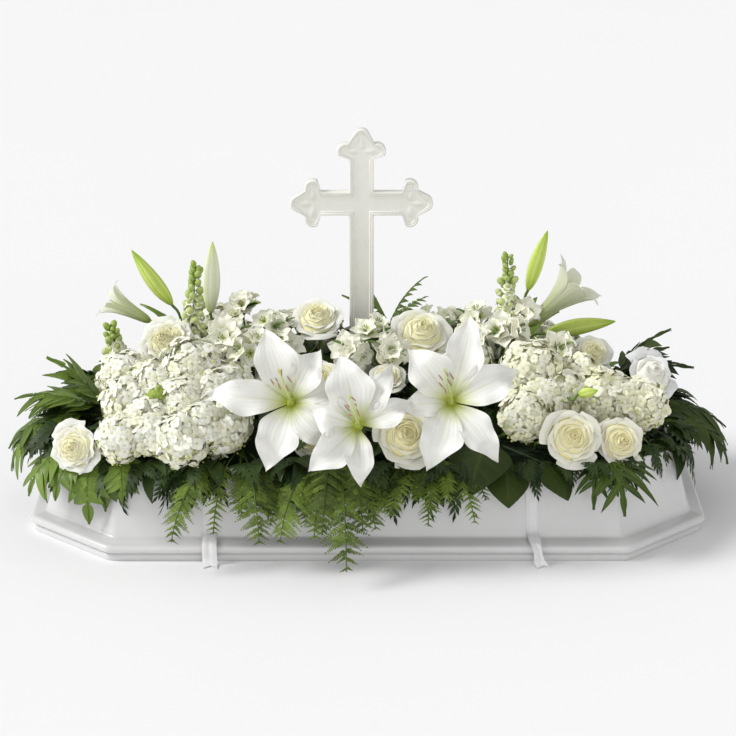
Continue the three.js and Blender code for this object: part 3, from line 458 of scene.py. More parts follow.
@dataclass(frozen=True)
class Forked:
    """Blooms or leaves that share one straight stalk, from its foot in the foam up to its fork."""

    name: str
    root: tuple[float, float]
    collar: Point

    @property
    def fork(self) -> Array:
        """The top of the stalk."""
        return np.array(self.collar, float)

    def trunk(self, radius: float, points: int, sides: int = 8) -> Shape:
        """The stalk as a tube in the second finish."""
        foot = np.array([*self.root, ROOT_HEIGHT])
        return tube(np.linspace(foot, self.fork, points), radius, sides).wearing(SECOND, 0.3)


# Shader sockets


def operation(name: str, mirrored: bool = False) -> Callable[..., "Socket"]:
    """Makes an operator for sockets out of a Math node.

    Args:
        name: The node's operation.
        mirrored: Whether the other value comes first.

    Returns:
        A method that adds the node on the socket and the other values, and returns its output.
    """

    def apply(self: "Socket", *others: object) -> "Socket":
        """Adds the Math node.

        Args:
            *others: The other values.

        Returns:
            The node's output.
        """
        node = self.tree.nodes.new("ShaderNodeMath")
        node.operation = name
        for socket, value in zip(node.inputs, (*others, self) if mirrored else (self, *others)):
            put(self.tree, socket, value)
        return Socket(self.tree, node.outputs[0])

    return apply


class Socket:
    """A shader socket on which sums, products and powers can be written as in Python."""

    def __init__(self, tree: bpy.types.NodeTree, link: bpy.types.NodeSocket) -> None:
        """Wraps an output socket of a node tree."""
        self.tree = tree
        self.link = link

    __add__, __radd__ = operation("ADD"), operation("ADD", True)
    __sub__, __rsub__ = operation("SUBTRACT"), operation("SUBTRACT", True)
    __mul__, __rmul__ = operation("MULTIPLY"), operation("MULTIPLY", True)
    __truediv__, __rtruediv__ = operation("DIVIDE"), operation("DIVIDE", True)
    __pow__, __abs__ = operation("POWER"), operation("ABSOLUTE")
    sine, at_most, at_least = operation("SINE"), operation("MINIMUM"), operation("MAXIMUM")

    def clipped(self) -> "Socket":
        """The value held between 0 and 1."""
        return self.at_most(1.0).at_least(0.0)


def put(tree: bpy.types.NodeTree, socket: bpy.types.NodeSocket, value: object) -> None:
    """Links or sets one input socket.

    Args:
        tree: The node tree.
        socket: The input socket.
        value: A Socket to link, or a number, a vector or a colour.
    """
    if isinstance(value, Socket):
        tree.links.new(value.link, socket)
    else:
        socket.default_value = (*value, 1.0) if socket.type == "RGBA" else value


class Recipe:
    """A material whose nodes are added one call at a time."""

    def __init__(self, name: str) -> None:
        """Starts an empty material with a Principled shader.

        Args:
            name: The material's name.
        """
        self.material = bpy.data.materials.new(name)
        self.material.use_nodes = True
        self.tree = self.material.node_tree
        self.tree.nodes.clear()
        output = self.tree.nodes.new("ShaderNodeOutputMaterial")
        self.shader = self.tree.nodes.new("ShaderNodeBsdfPrincipled")
        self.tree.links.new(self.shader.outputs[0], output.inputs["Surface"])

    def node(self, kind: str, output: str | int = 0, settings: Optional[dict] = None,
             **values: object) -> Socket:
        """Adds any node.

        Args:
            kind: The node's type.
            output: Name or number of the output to return.
            settings: Properties of the node, set first.
            **values: Values or links of its input sockets, by name with _ for a space, or iN for number N.

        Returns:
            The output.
        """
        made = self.tree.nodes.new(kind)
        for key, value in (settings or {}).items():
            setattr(made, key, value)
        for key, value in values.items():
            index = int(key[1:]) if key[0] == "i" and key[1:].isdigit() else key.replace("_", " ")
            put(self.tree, made.inputs[index], value)
        return Socket(self.tree, made.outputs[output])

    def attribute(self, name: str) -> Socket:
        """A number kept at each point of the mesh."""
        return self.node("ShaderNodeAttribute", "Fac", {"attribute_name": name, "attribute_type": "GEOMETRY"})

    def place(self) -> Socket:
        """Object coordinates, in metres in the part's frame."""
        return self.node("ShaderNodeTexCoord", "Object")

    def noise(self, scale: float, detail: float, roughness: float, place: Optional[Socket] = None) -> Socket:
        """Noise from 0 to 1 on Object coordinates.

        Args:
            scale: Cells in a metre.
            detail: Number of finer layers.
            roughness: Weight of the finer layers.
            place: Other coordinates to read.

        Returns:
            The noise.
        """
        values = {"Vector": place or self.place(), "Scale": scale, "Detail": detail, "Roughness": roughness}
        return self.node("ShaderNodeTexNoise", "Fac", **values)

    def mix(self, share: Socket, low: object, high: object) -> Socket:
        """Blend of two colours, by a share that the node holds between 0 and 1."""
        return self.node("ShaderNodeMix", 2, {"data_type": "RGBA"}, i0=share, i6=low, i7=high)

    def bump(self, height: Socket, depth: float) -> Socket:
        """Normal that a height from 0 to 1 raises by a depth in metres."""
        return self.node("ShaderNodeBump", 0, Height=height, Distance=depth)

    def finish(self, **values: object) -> bpy.types.Material:
        """Sets inputs of the Principled shader.

        Args:
            **values: Values or links, by the input's name with _ for a space.

        Returns:
            The material.
        """
        for key, value in values.items():
            put(self.tree, self.shader.inputs[key.replace("_", " ")], value)
        return self.material


# Finishes


@dataclass(frozen=True)
class PetalFinish:
    """A petal: its colour runs from the heart of the bloom outwards, with fine veins along it."""

    name: str
    heart: Point
    edge: Point
    root: Point
    root_reach: float = 0.25
    streak: float = 0.0
    veins: float = 26.0
    vein_depth: float = 0.00012
    roughness: float = 0.55
    glow: float = 0.3

    def material(self) -> bpy.types.Material:
        """Builds the material.

        Returns:
            Base colour: heart to edge by the tint, root colour near the petal's root, a streak along its
            middle, and faint mottling. Bump: fine veins side by side across the petal, fainter to its tip.
        """
        r = Recipe(self.name)
        along, across, tint = r.attribute("along"), r.attribute("across"), r.attribute("tint")
        mottle = r.noise(260.0, 3.0, 0.6)
        body = r.mix(tint + (mottle - 0.5) * 0.2, self.heart, self.edge)
        near_root = (1.0 - along / self.root_reach).clipped()
        shaded = r.mix(near_root ** 1.3, body, self.root)
        if self.streak:
            middle = (1.0 - abs(across) * 7.0).clipped() * (1.0 - along * 1.25).clipped()
            shaded = r.mix(middle * self.streak, shaded, self.root)
        fine = r.noise(900.0, 2.0, 0.5)
        vein = ((across * self.veins + (fine - 0.5) * 1.6).sine() * 0.5 + 0.5) * (1.0 - along * 0.45)
        colour = r.mix(vein * 0.06, shaded, self.root)
        normal = r.bump(vein * 0.7 + fine * 0.3, self.vein_depth)
        return r.finish(
            Base_Color=colour,
            Roughness=(self.roughness + (mottle - 0.5) * 0.14).clipped(),
            Normal=normal,
            Subsurface_Weight=self.glow,
            Subsurface_Radius=(0.9, 0.85, 0.7),
            Subsurface_Scale=0.004,
            Specular_IOR_Level=0.35,
        )


@dataclass(frozen=True)
class LeafFinish:
    """A leaf: darker between its veins, paler along its rib, with a waxy coat."""

    name: str
    deep: Point
    fresh: Point
    rib: Point
    gloss: float
    coat: float
    side_veins: float = 34.0
    vein_depth: float = 0.0004

    def material(self) -> bpy.types.Material:
        """Builds the material.

        Returns:
            Base colour: deep to fresh by the leaf's tint and a patchy noise, and paler on the rib and on
            side veins that slant towards the tip. Bump: the same veins and a fine grain.
        """
        r = Recipe(self.name)
        along, across, tint = r.attribute("along"), r.attribute("across"), r.attribute("tint")
        patch = r.noise(38.0, 3.0, 0.6)
        grain = r.noise(1500.0, 2.0, 0.5)
        body = r.mix(tint * 0.75 + patch * 0.6 - 0.2, self.deep, self.fresh)
        rib = (1.0 - abs(across) * 9.0).clipped()
        slant = ((along - abs(across) * 0.22) * self.side_veins).sine() * 0.5 + 0.5
        side = (slant ** 6.0) * (1.0 - abs(across) * 0.5)
        colour = r.mix(rib * 0.45 + side * 0.16, body, self.rib)
        relief = 1.0 - (rib * 0.7 + side * 0.3).clipped()
        normal = r.bump(relief * 0.85 + grain * 0.15, self.vein_depth)
        return r.finish(
            Base_Color=colour,
            Roughness=(self.gloss + (patch - 0.5) * 0.16 + grain * 0.05).clipped(),
            Normal=normal,
            Coat_Weight=self.coat,
            Coat_Roughness=0.3,
            Specular_IOR_Level=0.3,
        )


@dataclass(frozen=True)
class StemFinish:
    """A green stem, small bud, anther or eye: two colours in patches, with a fine grain."""

    name: str
    low: Point
    high: Point
    grain_depth: float = 0.00015
    roughness: float = 0.45

    def material(self) -> bpy.types.Material:
        """Builds the material.

        Returns:
            Base colour: a noise and the tint mix the two colours. Bump: a fine noise.
        """
        r = Recipe(self.name)
        patch = r.noise(120.0, 3.0, 0.6)
        grain = r.noise(1100.0, 2.0, 0.6)
        share = r.attribute("tint") * 0.8 + patch * 0.5 - 0.15
        return r.finish(
            Base_Color=r.mix(share, self.low, self.high),
            Roughness=(self.roughness + (grain - 0.5) * 0.2).clipped(),
            Normal=r.bump(grain, self.grain_depth),
        )


@dataclass(frozen=True)
class BudFinish:
    """A lily bud: pale lines along it, greener between them and towards its ends."""

    name: str
    green: Point
    pale: Point

    def material(self) -> bpy.types.Material:
        """Builds the material.

        Returns:
            Base colour: the pale colour on six lines along the bud, the green one between them and at both
            ends. Bump: the same lines.
        """
        r = Recipe(self.name)
        along, across = r.attribute("along"), r.attribute("across")
        line = (across * (3.0 * math.pi)).sine()
        rib = (1.0 - abs(line) * 1.3).clipped()
        ends = (abs(along - 0.45) * 1.9) ** 3.0
        patch = r.noise(200.0, 3.0, 0.6)
        share = (1.0 - rib) * 0.5 + ends * 0.7 + (patch - 0.5) * 0.3
        return r.finish(
            Base_Color=r.mix(share, self.pale, self.green),
            Roughness=(0.36 + patch * 0.14).clipped(),
            Normal=r.bump(1.0 - rib * 0.8, 0.0003),
            Subsurface_Weight=0.15,
            Subsurface_Radius=(0.7, 0.9, 0.4),
            Subsurface_Scale=0.003,
        )


@dataclass(frozen=True)
class SurfaceFinish:
    """A made surface, such as lacquer, pearl paint, wood or foam."""

    name: str
    colour: Point
    second: Point
    roughness: float
    grain_scale: float
    grain_depth: float
    coat: float = 0.0
    coat_roughness: float = 0.1
    stretch: Point = (1.0, 1.0, 1.0)
    contrast: float = 0.5

    def material(self) -> bpy.types.Material:
        """Builds the material.

        Returns:
            Base colour: two colours mixed by a stretched noise. Roughness and bump follow finer noise.
        """
        r = Recipe(self.name)
        place = r.node("ShaderNodeMapping", 0, Vector=r.place(), Scale=self.stretch)
        grain = r.noise(self.grain_scale, 4.0, 0.6, place)
        broad = r.noise(self.grain_scale * 0.07, 2.0, 0.5, place)
        share = (grain - 0.5) * self.contrast * 2.0 + broad
        return r.finish(
            Base_Color=r.mix(share, self.colour, self.second),
            Roughness=(self.roughness + (broad - 0.5) * 0.12 + (grain - 0.5) * 0.08).clipped(),
            Normal=r.bump(grain, self.grain_depth),
            Coat_Weight=self.coat,
            Coat_Roughness=self.coat_roughness,
        )


@dataclass(frozen=True)
class SatinFinish:
    """Satin ribbon: fine threads along and across it, with a soft sheen."""

    name: str
    colour: Point
    shade: Point
    threads: float = 90.0

    def material(self) -> bpy.types.Material:
        """Builds the material.

        Returns:
            Base colour: a cloudy noise and the hems mix colour and shade. Bump: threads from the ribbon's own
            along and across values.
        """
        r = Recipe(self.name)
        along, across = r.attribute("along"), r.attribute("across")
        warp = (across * self.threads).sine() * 0.5 + 0.5
        weft = (along * (self.threads * 8.0)).sine() * 0.5 + 0.5
        cloud = r.noise(90.0, 3.0, 0.5)
        hem = ((abs(across) - 0.9) * 12.0).clipped()
        return r.finish(
            Base_Color=r.mix(cloud * 0.5 + hem * 0.4, self.colour, self.shade),
            Roughness=(0.3 + cloud * 0.16 + hem * 0.15).clipped(),
            Normal=r.bump(warp * 0.7 + weft * 0.3, 0.00005),
            Sheen_Weight=0.3,
            Sheen_Roughness=0.4,
        )


class Finish(Enum):
    """Every finish of the arrangement, with its colours as shares of linear red, green and blue."""

    LACQUER = SurfaceFinish(
        "white_lacquer", (0.66, 0.655, 0.655), (0.7, 0.695, 0.69), 0.22, 900.0, 0.00002,
        coat=0.6, coat_roughness=0.08, contrast=0.2,
    )
    PEARL = SurfaceFinish(
        "pearl_paint", (0.84, 0.83, 0.76), (0.9, 0.89, 0.84), 0.3, 1400.0, 0.00005,
        coat=0.35, coat_roughness=0.18, contrast=0.4,
    )
    WOOD = SurfaceFinish(
        "pale_wood", (0.42, 0.28, 0.13), (0.56, 0.4, 0.21), 0.6, 240.0, 0.0003, stretch=(6.0, 6.0, 0.35),
    )
    # Floral foam: its own dark wet green, darkened further towards black as painted shade where it shows
    # between the leaves.
    FOAM = SurfaceFinish("floral_foam", (0.008, 0.022, 0.008), (0.02, 0.05, 0.016), 0.95, 1800.0, 0.0012)
    FLOOR = SurfaceFinish(
        "pale_floor", (0.9, 0.9, 0.905), (0.905, 0.905, 0.91), 0.7, 30.0, 0.00001, contrast=0.1,
    )
    SATIN = SatinFinish("white_satin", (0.86, 0.85, 0.85), (0.74, 0.73, 0.74))
    LILY = PetalFinish(
        "lily_petal", (0.86, 0.855, 0.81), (0.92, 0.918, 0.895), (0.4, 0.46, 0.03),
        root_reach=0.33, streak=0.35, veins=30.0, vein_depth=0.0003, roughness=0.45,
    )
    TRUMPET = PetalFinish(
        "trumpet_petal", (0.84, 0.84, 0.72), (0.93, 0.93, 0.85), (0.28, 0.38, 0.015),
        root_reach=1.0, streak=0.62, veins=24.0, vein_depth=0.0003, roughness=0.45,
    )
    ROSE = PetalFinish(
        "rose_petal", (0.91, 0.83, 0.46), (0.94, 0.925, 0.77), (0.86, 0.82, 0.46), root_reach=0.2, glow=0.5,
    )
    IVORY = PetalFinish(
        "ivory_petal", (0.92, 0.87, 0.52), (0.94, 0.935, 0.82), (0.82, 0.8, 0.44), root_reach=0.2, glow=0.5,
    )
    WHITE = PetalFinish("white_petal", (0.9, 0.89, 0.8), (0.93, 0.93, 0.92), (0.78, 0.8, 0.5), glow=0.4)
    FLORET = PetalFinish(
        "floret_petal", (0.81, 0.79, 0.47), (0.955, 0.95, 0.84), (0.7, 0.74, 0.34),
        root_reach=0.24, veins=9.0,
    )
    SMALL = PetalFinish(
        "small_petal", (0.94, 0.93, 0.66), (0.97, 0.965, 0.86), (0.66, 0.72, 0.14),
        root_reach=0.42, streak=0.6, veins=12.0, glow=0.1,
    )
    EYE = StemFinish("floret_eye", (0.24, 0.36, 0.03), (0.66, 0.68, 0.2))
    FILAMENT = StemFinish("filament", (0.42, 0.52, 0.12), (0.68, 0.74, 0.36))
    ANTHER = StemFinish("anther", (0.36, 0.2, 0.13), (0.56, 0.37, 0.26), grain_depth=0.0004, roughness=0.85)
    SPIKE = StemFinish("stock_bud", (0.3, 0.42, 0.06), (0.74, 0.79, 0.4))
    STEM = StemFinish("green_stem", (0.06, 0.12, 0.015), (0.16, 0.26, 0.04))
    CORE = StemFinish("floret_core", (0.66, 0.7, 0.4), (0.86, 0.87, 0.62))
    BUD = BudFinish("lily_bud", (0.34, 0.52, 0.02), (0.76, 0.86, 0.24))
    WHITE_BUD = BudFinish("white_lily_bud", (0.66, 0.74, 0.3), (0.94, 0.94, 0.88))
    FERN = LeafFinish("fern_green", (0.01, 0.024, 0.003), (0.22, 0.32, 0.04), (0.12, 0.19, 0.02), 0.55, 0.0)
    CUT = LeafFinish("cut_leaf", (0.025, 0.055, 0.006), (0.18, 0.28, 0.035), (0.26, 0.36, 0.08), 0.4, 0.08)
    MID = LeafFinish("mid_leaf", (0.012, 0.03, 0.004), (0.11, 0.18, 0.014), (0.17, 0.24, 0.04), 0.5, 0.03)
    DARK = LeafFinish(
        "dark_leaf", (0.012, 0.024, 0.002), (0.046, 0.078, 0.007), (0.08, 0.115, 0.02), 0.6, 0.0,
    )
    # Painted shade: the leaf bed's front leaves wear this darker green for the shade under the blooms, and
    # the same leaves behind wear mid_leaf.
    BED = LeafFinish("bed_leaf", (0.008, 0.02, 0.003), (0.045, 0.085, 0.012), (0.06, 0.1, 0.02), 0.5, 0.04)


class Palette:
    """Keeps one material for each finish."""

    def __init__(self) -> None:
        """Starts with no material made."""
        self.made: dict[Finish, bpy.types.Material] = {}

    def of(self, finish: Finish) -> bpy.types.Material:
        """Gives the material of a finish, made when it is first asked for.

        Args:
            finish: The finish.

        Returns:
            Its material.
        """
        if finish not in self.made:
            self.made[finish] = finish.value.material()
        return self.made[finish]


PALETTE = Palette()


def piece(
    name: str,
    shape: Shape,
    finishes: Sequence[Finish],
    replaces: Sequence[str] = (),
    sharp: float = 70.0,
) -> bpy.types.Object:
    """Puts a shape into the scene.

    Args:
        name: Name of the piece.
        shape: Its shape, in millimetres.
        finishes: The finishes that its parts wear, in order.
        replaces: CAD nodes that it stands for.
        sharp: Angle in degrees past which an edge stays sharp.

    Returns:
        The object, in metres at the origin.
    """
    mesh = bpy.data.meshes.new(name)
    triangle = shape.faces[:, 2] == shape.faces[:, 3]
    faces = shape.faces[~triangle].tolist() + shape.faces[triangle][:, :3].tolist()
    mesh.from_pydata((shape.points * METRES).tolist(), [], faces)
    parts = np.concatenate([shape.part[~triangle], shape.part[triangle]])
    for value in ("along", "across", "tint"):
        mesh.attributes.new(value, "FLOAT", "POINT").data.foreach_set("value", getattr(shape, value))
    for finish in finishes:
        mesh.materials.append(PALETTE.of(finish))
    mesh.polygons.foreach_set("material_index", parts.astype(np.int32))
    mesh.shade_smooth()
    mesh.set_sharp_from_angle(angle=math.radians(sharp))
    mesh.update()
    made = bpy.data.objects.new(name, mesh)
    bpy.context.scene.collection.objects.link(made)
    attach(made, "root")
    if replaces:
        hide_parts(*replaces)
    LOG.info("%s: %d faces", name, len(faces))
    return made


# Holder, cross and ribbons


@dataclass(frozen=True)
class Box:
    """The white eight-sided box: a stepped plinth and walls that lean in, open at the top."""

    half_length: float = 464.0
    half_depth: float = 230.0
    corner_length: float = 114.0
    corner_depth: float = 103.0
    corner_round: float = 7.0
    profile: tuple[tuple[float, float], ...] = (
        (12, 0), (7, 0), (5.6, 0.3), (5, 1.2), (5, 6.4), (5.5, 7.6), (7.4, 9), (8, 9.8), (8, 10.8), (7, 11.5),
        (3, 12.2), (1.2, 12.9), (0.3, 14.2), (0, 15.8), (0, 18.2), (0.6, 20.4), (2.2, 22.2), (4.6, 23.3),
        (8, 24), (15, 25.1), (18.6, 25.9), (20.6, 27), (21.6, 28.6), (22.6, 32), (33, 74), (43.2, 113.4),
        (43.8, 115.4), (44.8, 116.6), (46.2, 117), (48.6, 117), (49.6, 116.4), (50, 115), (30, 12),
    )

    def ring(self, inset: float, height: float) -> Array:
        """One ring of the box.

        Args:
            inset: How far it lies inside the plinth's outline.
            height: Its height.

        Returns:
            Points of an eight-sided outline whose corners are short arcs: each corner is cut back by the
            rounding on both its sides and bridged by a quadratic curve.
        """
        slant = math.hypot(self.corner_length, self.corner_depth)
        front = self.half_length - self.corner_length
        front += inset * (self.corner_length - slant) / self.corner_depth
        end = self.half_depth - self.corner_depth
        end += inset * (self.corner_depth - slant) / self.corner_length
        x, y = self.half_length - inset, self.half_depth - inset
        corners = np.array([[x, -end], [x, end], [front, y], [-front, y], [-x, end], [-x, -end], [-front, -y],
                            [front, -y]])
        before, after = (
            self.corner_round * unit(np.roll(corners, step, axis=0) - corners) for step in (1, -1)
        )
        t = np.linspace(0.0, 1.0, 6)[None, :, None]
        arc = corners[:, None] + before[:, None] * (1 - t) ** 2 + after[:, None] * t**2
        flat = arc.reshape(-1, 2)
        return np.column_stack([flat, np.full(len(flat), height)])

    def build(self) -> None:
        """Lays the profile's rings one on another and closes the underside and the floor inside."""
        rings = np.stack([self.ring(inset, height) for inset, height in self.profile])
        shape = closed_rings(rings, np.array([0.0, 0.0, 0.0]), np.array([0.0, 0.0, 12.0]))
        piece("base_box_lacquered", shape, [Finish.LACQUER], ["base_box"], sharp=40.0)


@dataclass(frozen=True)
class Cross:
    """The pearl white cross: a moulded border round a sunk panel, with a carved leaf in every lobe."""

    centre: Point = (-9.0, 47.0, 421.0)
    thickness: float = 14.0
    half_width: float = 17.0
    arm_reach: float = 99.0
    head_reach: float = 106.0
    foot_reach: float = 260.0
    lobe: float = 12.0
    lobe_offset: float = 22.0
    lobe_setback: float = 20.0
    bevel: float = 1.6
    border: tuple[tuple[float, float], ...] = (
        (0.0, 8.5), (0.0, 12.0), (0.4, 13.1), (1.4, 13.9), (2.6, 14.0), (3.4, 13.4), (3.8, 12.8), (4.2, 13.3),
        (5.0, 13.5), (5.7, 13.0), (6.2, 11.9), (6.6, 11.4),
    )

    @property
    def arms(self) -> tuple[tuple[float, float], ...]:
        """Reach and turn in degrees of the two arms and the head."""
        return (self.arm_reach, 0.0), (self.head_reach, 90.0), (self.arm_reach, 180.0)

    def outline(self, inset: float) -> Array:
        """The outline, moved in by an inset.

        Args:
            inset: How far inside the true outline it lies.

        Returns:
            Points of a plain shaft, and of a head and two arms whose ends have three round lobes: each
            lobe is an arc, and each arm is its own outline turned about the centre.
        """
        half, lobe = self.half_width - inset, self.lobe - inset
        rows = [np.array([[half, inset - self.foot_reach]])]
        for reach, degrees in self.arms:
            tip = reach - self.lobe
            side = tip - self.lobe_setback
            neck = side - 0.9 * self.lobe
            arm = [np.array([[half, -half], [neck, -half]])]
            for x, y, start, stop in ((side, -self.lobe_offset, -120, 20), (tip, 0, -70, 70),
                                      (side, self.lobe_offset, -20, 120)):
                turn = np.radians(np.linspace(start, stop, 12))
                arm.append(np.column_stack([x + lobe * np.cos(turn), y + lobe * np.sin(turn)]))
            arm.append(np.array([[neck, half]]))
            spin = turn_about_z(degrees)[:2, :2]
            rows.append(np.concatenate(arm) @ spin.T)
        rows.append(np.array([[-half, -half], [-half, inset - self.foot_reach]]))
        return np.concatenate(rows)

    def slab(self) -> Shape:
        """The moulded border on both faces, with a flat panel inside each.

        Returns:
            The moulding's rings from the back panel round the edge to the front one. Blender's own
            triangles of the last ring close both panels on the rings' own points.
        """
        front = list(self.border)
        rows = [(inset, self.thickness - height) for inset, height in reversed(front)] + front
        flats = [self.outline(inset) for inset, _ in rows]
        rings = [np.column_stack([flat, np.full(len(flat), row[1])]) for flat, row in zip(flats, rows)]
        wall = lattice(np.stack(rings), wrap=True, outward=True)
        count = len(rings[0])
        mesh = bpy.data.meshes.new("cross_panel")
        mesh.from_pydata(rings[-1].tolist(), [], [list(range(count))])
        mesh.calc_loop_triangles()
        flat = np.empty(len(mesh.loop_triangles) * 3, dtype=np.int32)
        mesh.loop_triangles.foreach_get("vertices", flat)
        bpy.data.meshes.remove(mesh)
        triangles = flat.reshape(-1, 3)[:, [0, 1, 2, 2]]
        faces = np.concatenate([wall.faces, triangles + (len(rings) - 1) * count, turned_over(triangles)])
        return replace(wall, faces=faces).wearing(FIRST)

    def leaves(self) -> Shape:
        """Three carved leaves in each lobed end.

        Returns:
            Low teardrop domes, of half width w sin(pi u^0.8) and of height h (1 - v^2) sin(pi u) with a
            fine rib along the middle.
        """
        u, v = spans(9, 7)
        width = 5.4 * arch(u**0.8) + 0.15
        height = (1.7 * (1 - v**2) + 0.35 * np.exp(-((v / 0.18) ** 2))) * arch(u)
        blade = surface(3.0 + 19.0 * u, v * width, height)
        made = []
        for reach, degrees in self.arms:
            hub = np.eye(4)
            hub[:3, 3] = (reach - self.lobe - self.lobe_setback - 1.0, 0.0, self.border[-1][1] - 0.1)
            for turn in (-82.0, 0.0, 82.0):
                made.append(blade.placed(turn_about_z(degrees) @ hub @ turn_about_z(turn)))
        return Shape.joined(made)

    def build(self) -> None:
        """Stands the cross up, with its front facing -Y, and carves the leaves into its front."""
        place = frames(self.centre, (0.0, -1.0, 0.0))[0]
        place[:3, 3] += np.array([0.0, self.bevel, 0.0])
        shape = Shape.joined([self.slab(), self.leaves()]).placed(place)
        piece("cross_moulded", shape, [Finish.PEARL], ["cross"], sharp=50.0)


@dataclass(frozen=True)
class Ribbon:
    """One satin ribbon that runs over the rim, down the wall and out on the floor."""

    name: str
    x: float
    drift: float
    width: float
    twist: float
    length: float = 0.19
    path: tuple[tuple[float, float], ...] = (
        (-171, 92), (-174, 118), (-184, 121), (-189, 114), (-198, 75), (-206.4, 38),
        (-216, 31), (-229, 27.5), (-234, 20), (-236, 8), (-241, 2.5), (-252, 1.2),
    )

    def build(self) -> None:
        """Sweeps a softly creased strip along the path, with its end cut to a swallow tail.

        Its cross-section bows out by 1.1 (1 - v^2) and carries creases of 0.35 cos(6.5 v + 5 u) sin(pi u).
        """
        corners = np.array([(0.0, y, z) for y, z in self.path])
        middle = smooth_path(corners, 64)
        u, v = spans(64, 15)
        turn = self.twist * arch(ramp(u, 0.45, 1.0))
        narrowed = 1.0 - 0.16 * arch(ramp(u, 0.1, 0.75)) ** 2
        side = v * self.width / 2.0 * narrowed
        crease = 1.1 * (1 - v**2) + 0.35 * np.cos(6.5 * v + 5.0 * u) * arch(u)
        tail = ramp(u, 0.88, 1.0) * (1 - np.abs(v)) * 9.0
        x = self.x + self.drift * u**2 + side * np.cos(turn)
        y = middle[:, None, 1] - np.abs(side) * np.sin(turn) - crease * 0.8 + tail
        z = np.maximum(middle[:, None, 2] + crease * 0.3, 0.9)
        strip = surface(x, y, z, outward=True).shelled(0.5)
        made = piece(f"{self.name}_satin", strip, [Finish.SATIN], [self.name])


# Blooms


# Turned bodies: radius and height of each ring, in millimetres
LILY_THROAT = ((0, -18), (3.2, -16), (5.4, -8), (7, 0), (7.2, 7), (5, 8.6), (0, 9))
STAMEN_FOOT = ((0, -1), (3.2, -1), (2.8, 1.2), (0, 1.5))
ANTHER = ((0, -4.2), (0.5, -3.8), (0.9, -2), (1, 0), (0.9, 2), (0.5, 3.8), (0, 4.2))
PISTIL_END = ((0, -2.4), (1.6, -1.8), (2.9, 0), (2.4, 1.2), (0, 1))
STAR_HEART = ((0, -4), (1.2, -3.4), (2.2, -0.4), (1.7, 1.6), (0, 3))
SMALL_BUD = ((0, -3), (1.7, -2.4), (3.4, 2.5), (2.9, 6.5), (0, 11.5))
TRUMPET_CUP = ((0, -4), (2.4, -3.4), (3.4, 1), (4.6, 8), (0, 9))

# The same as shares of a radius or a size
ROSE_HEART = (
    (0, 0.05), (0.5, 0.12), (0.85, 0.26), (0.76, 0.46), (0.52, 0.67), (0.29, 0.84), (0.1, 0.95), (0, 0.97),
)
ROSE_CUP = ((0, -0.16), (0.14, -0.1), (0.3, 0.05), (0.44, 0.17), (0, 0.2))
FLORET_EYE = ((0, 0.02), (0.09, 0.1), (0, 0.2))
FLORET_BUD = ((0, -1), (0.86, -0.5), (0.86, 0.45), (0, 1.05))
HEAD_CORE = ((0, -0.8), (0.5, -0.66), (0.79, -0.2), (0.81, 0.1), (0.58, 0.6), (0, 0.81))
BUTTON_BEAD = ((0, -1), (0.8, -0.4), (0.8, 0.4), (0, 1.1))
STOCK_BUD = ((0, -0.9), (0.55, -0.6), (0.72, 0.1), (0.5, 0.75), (0, 1.05))


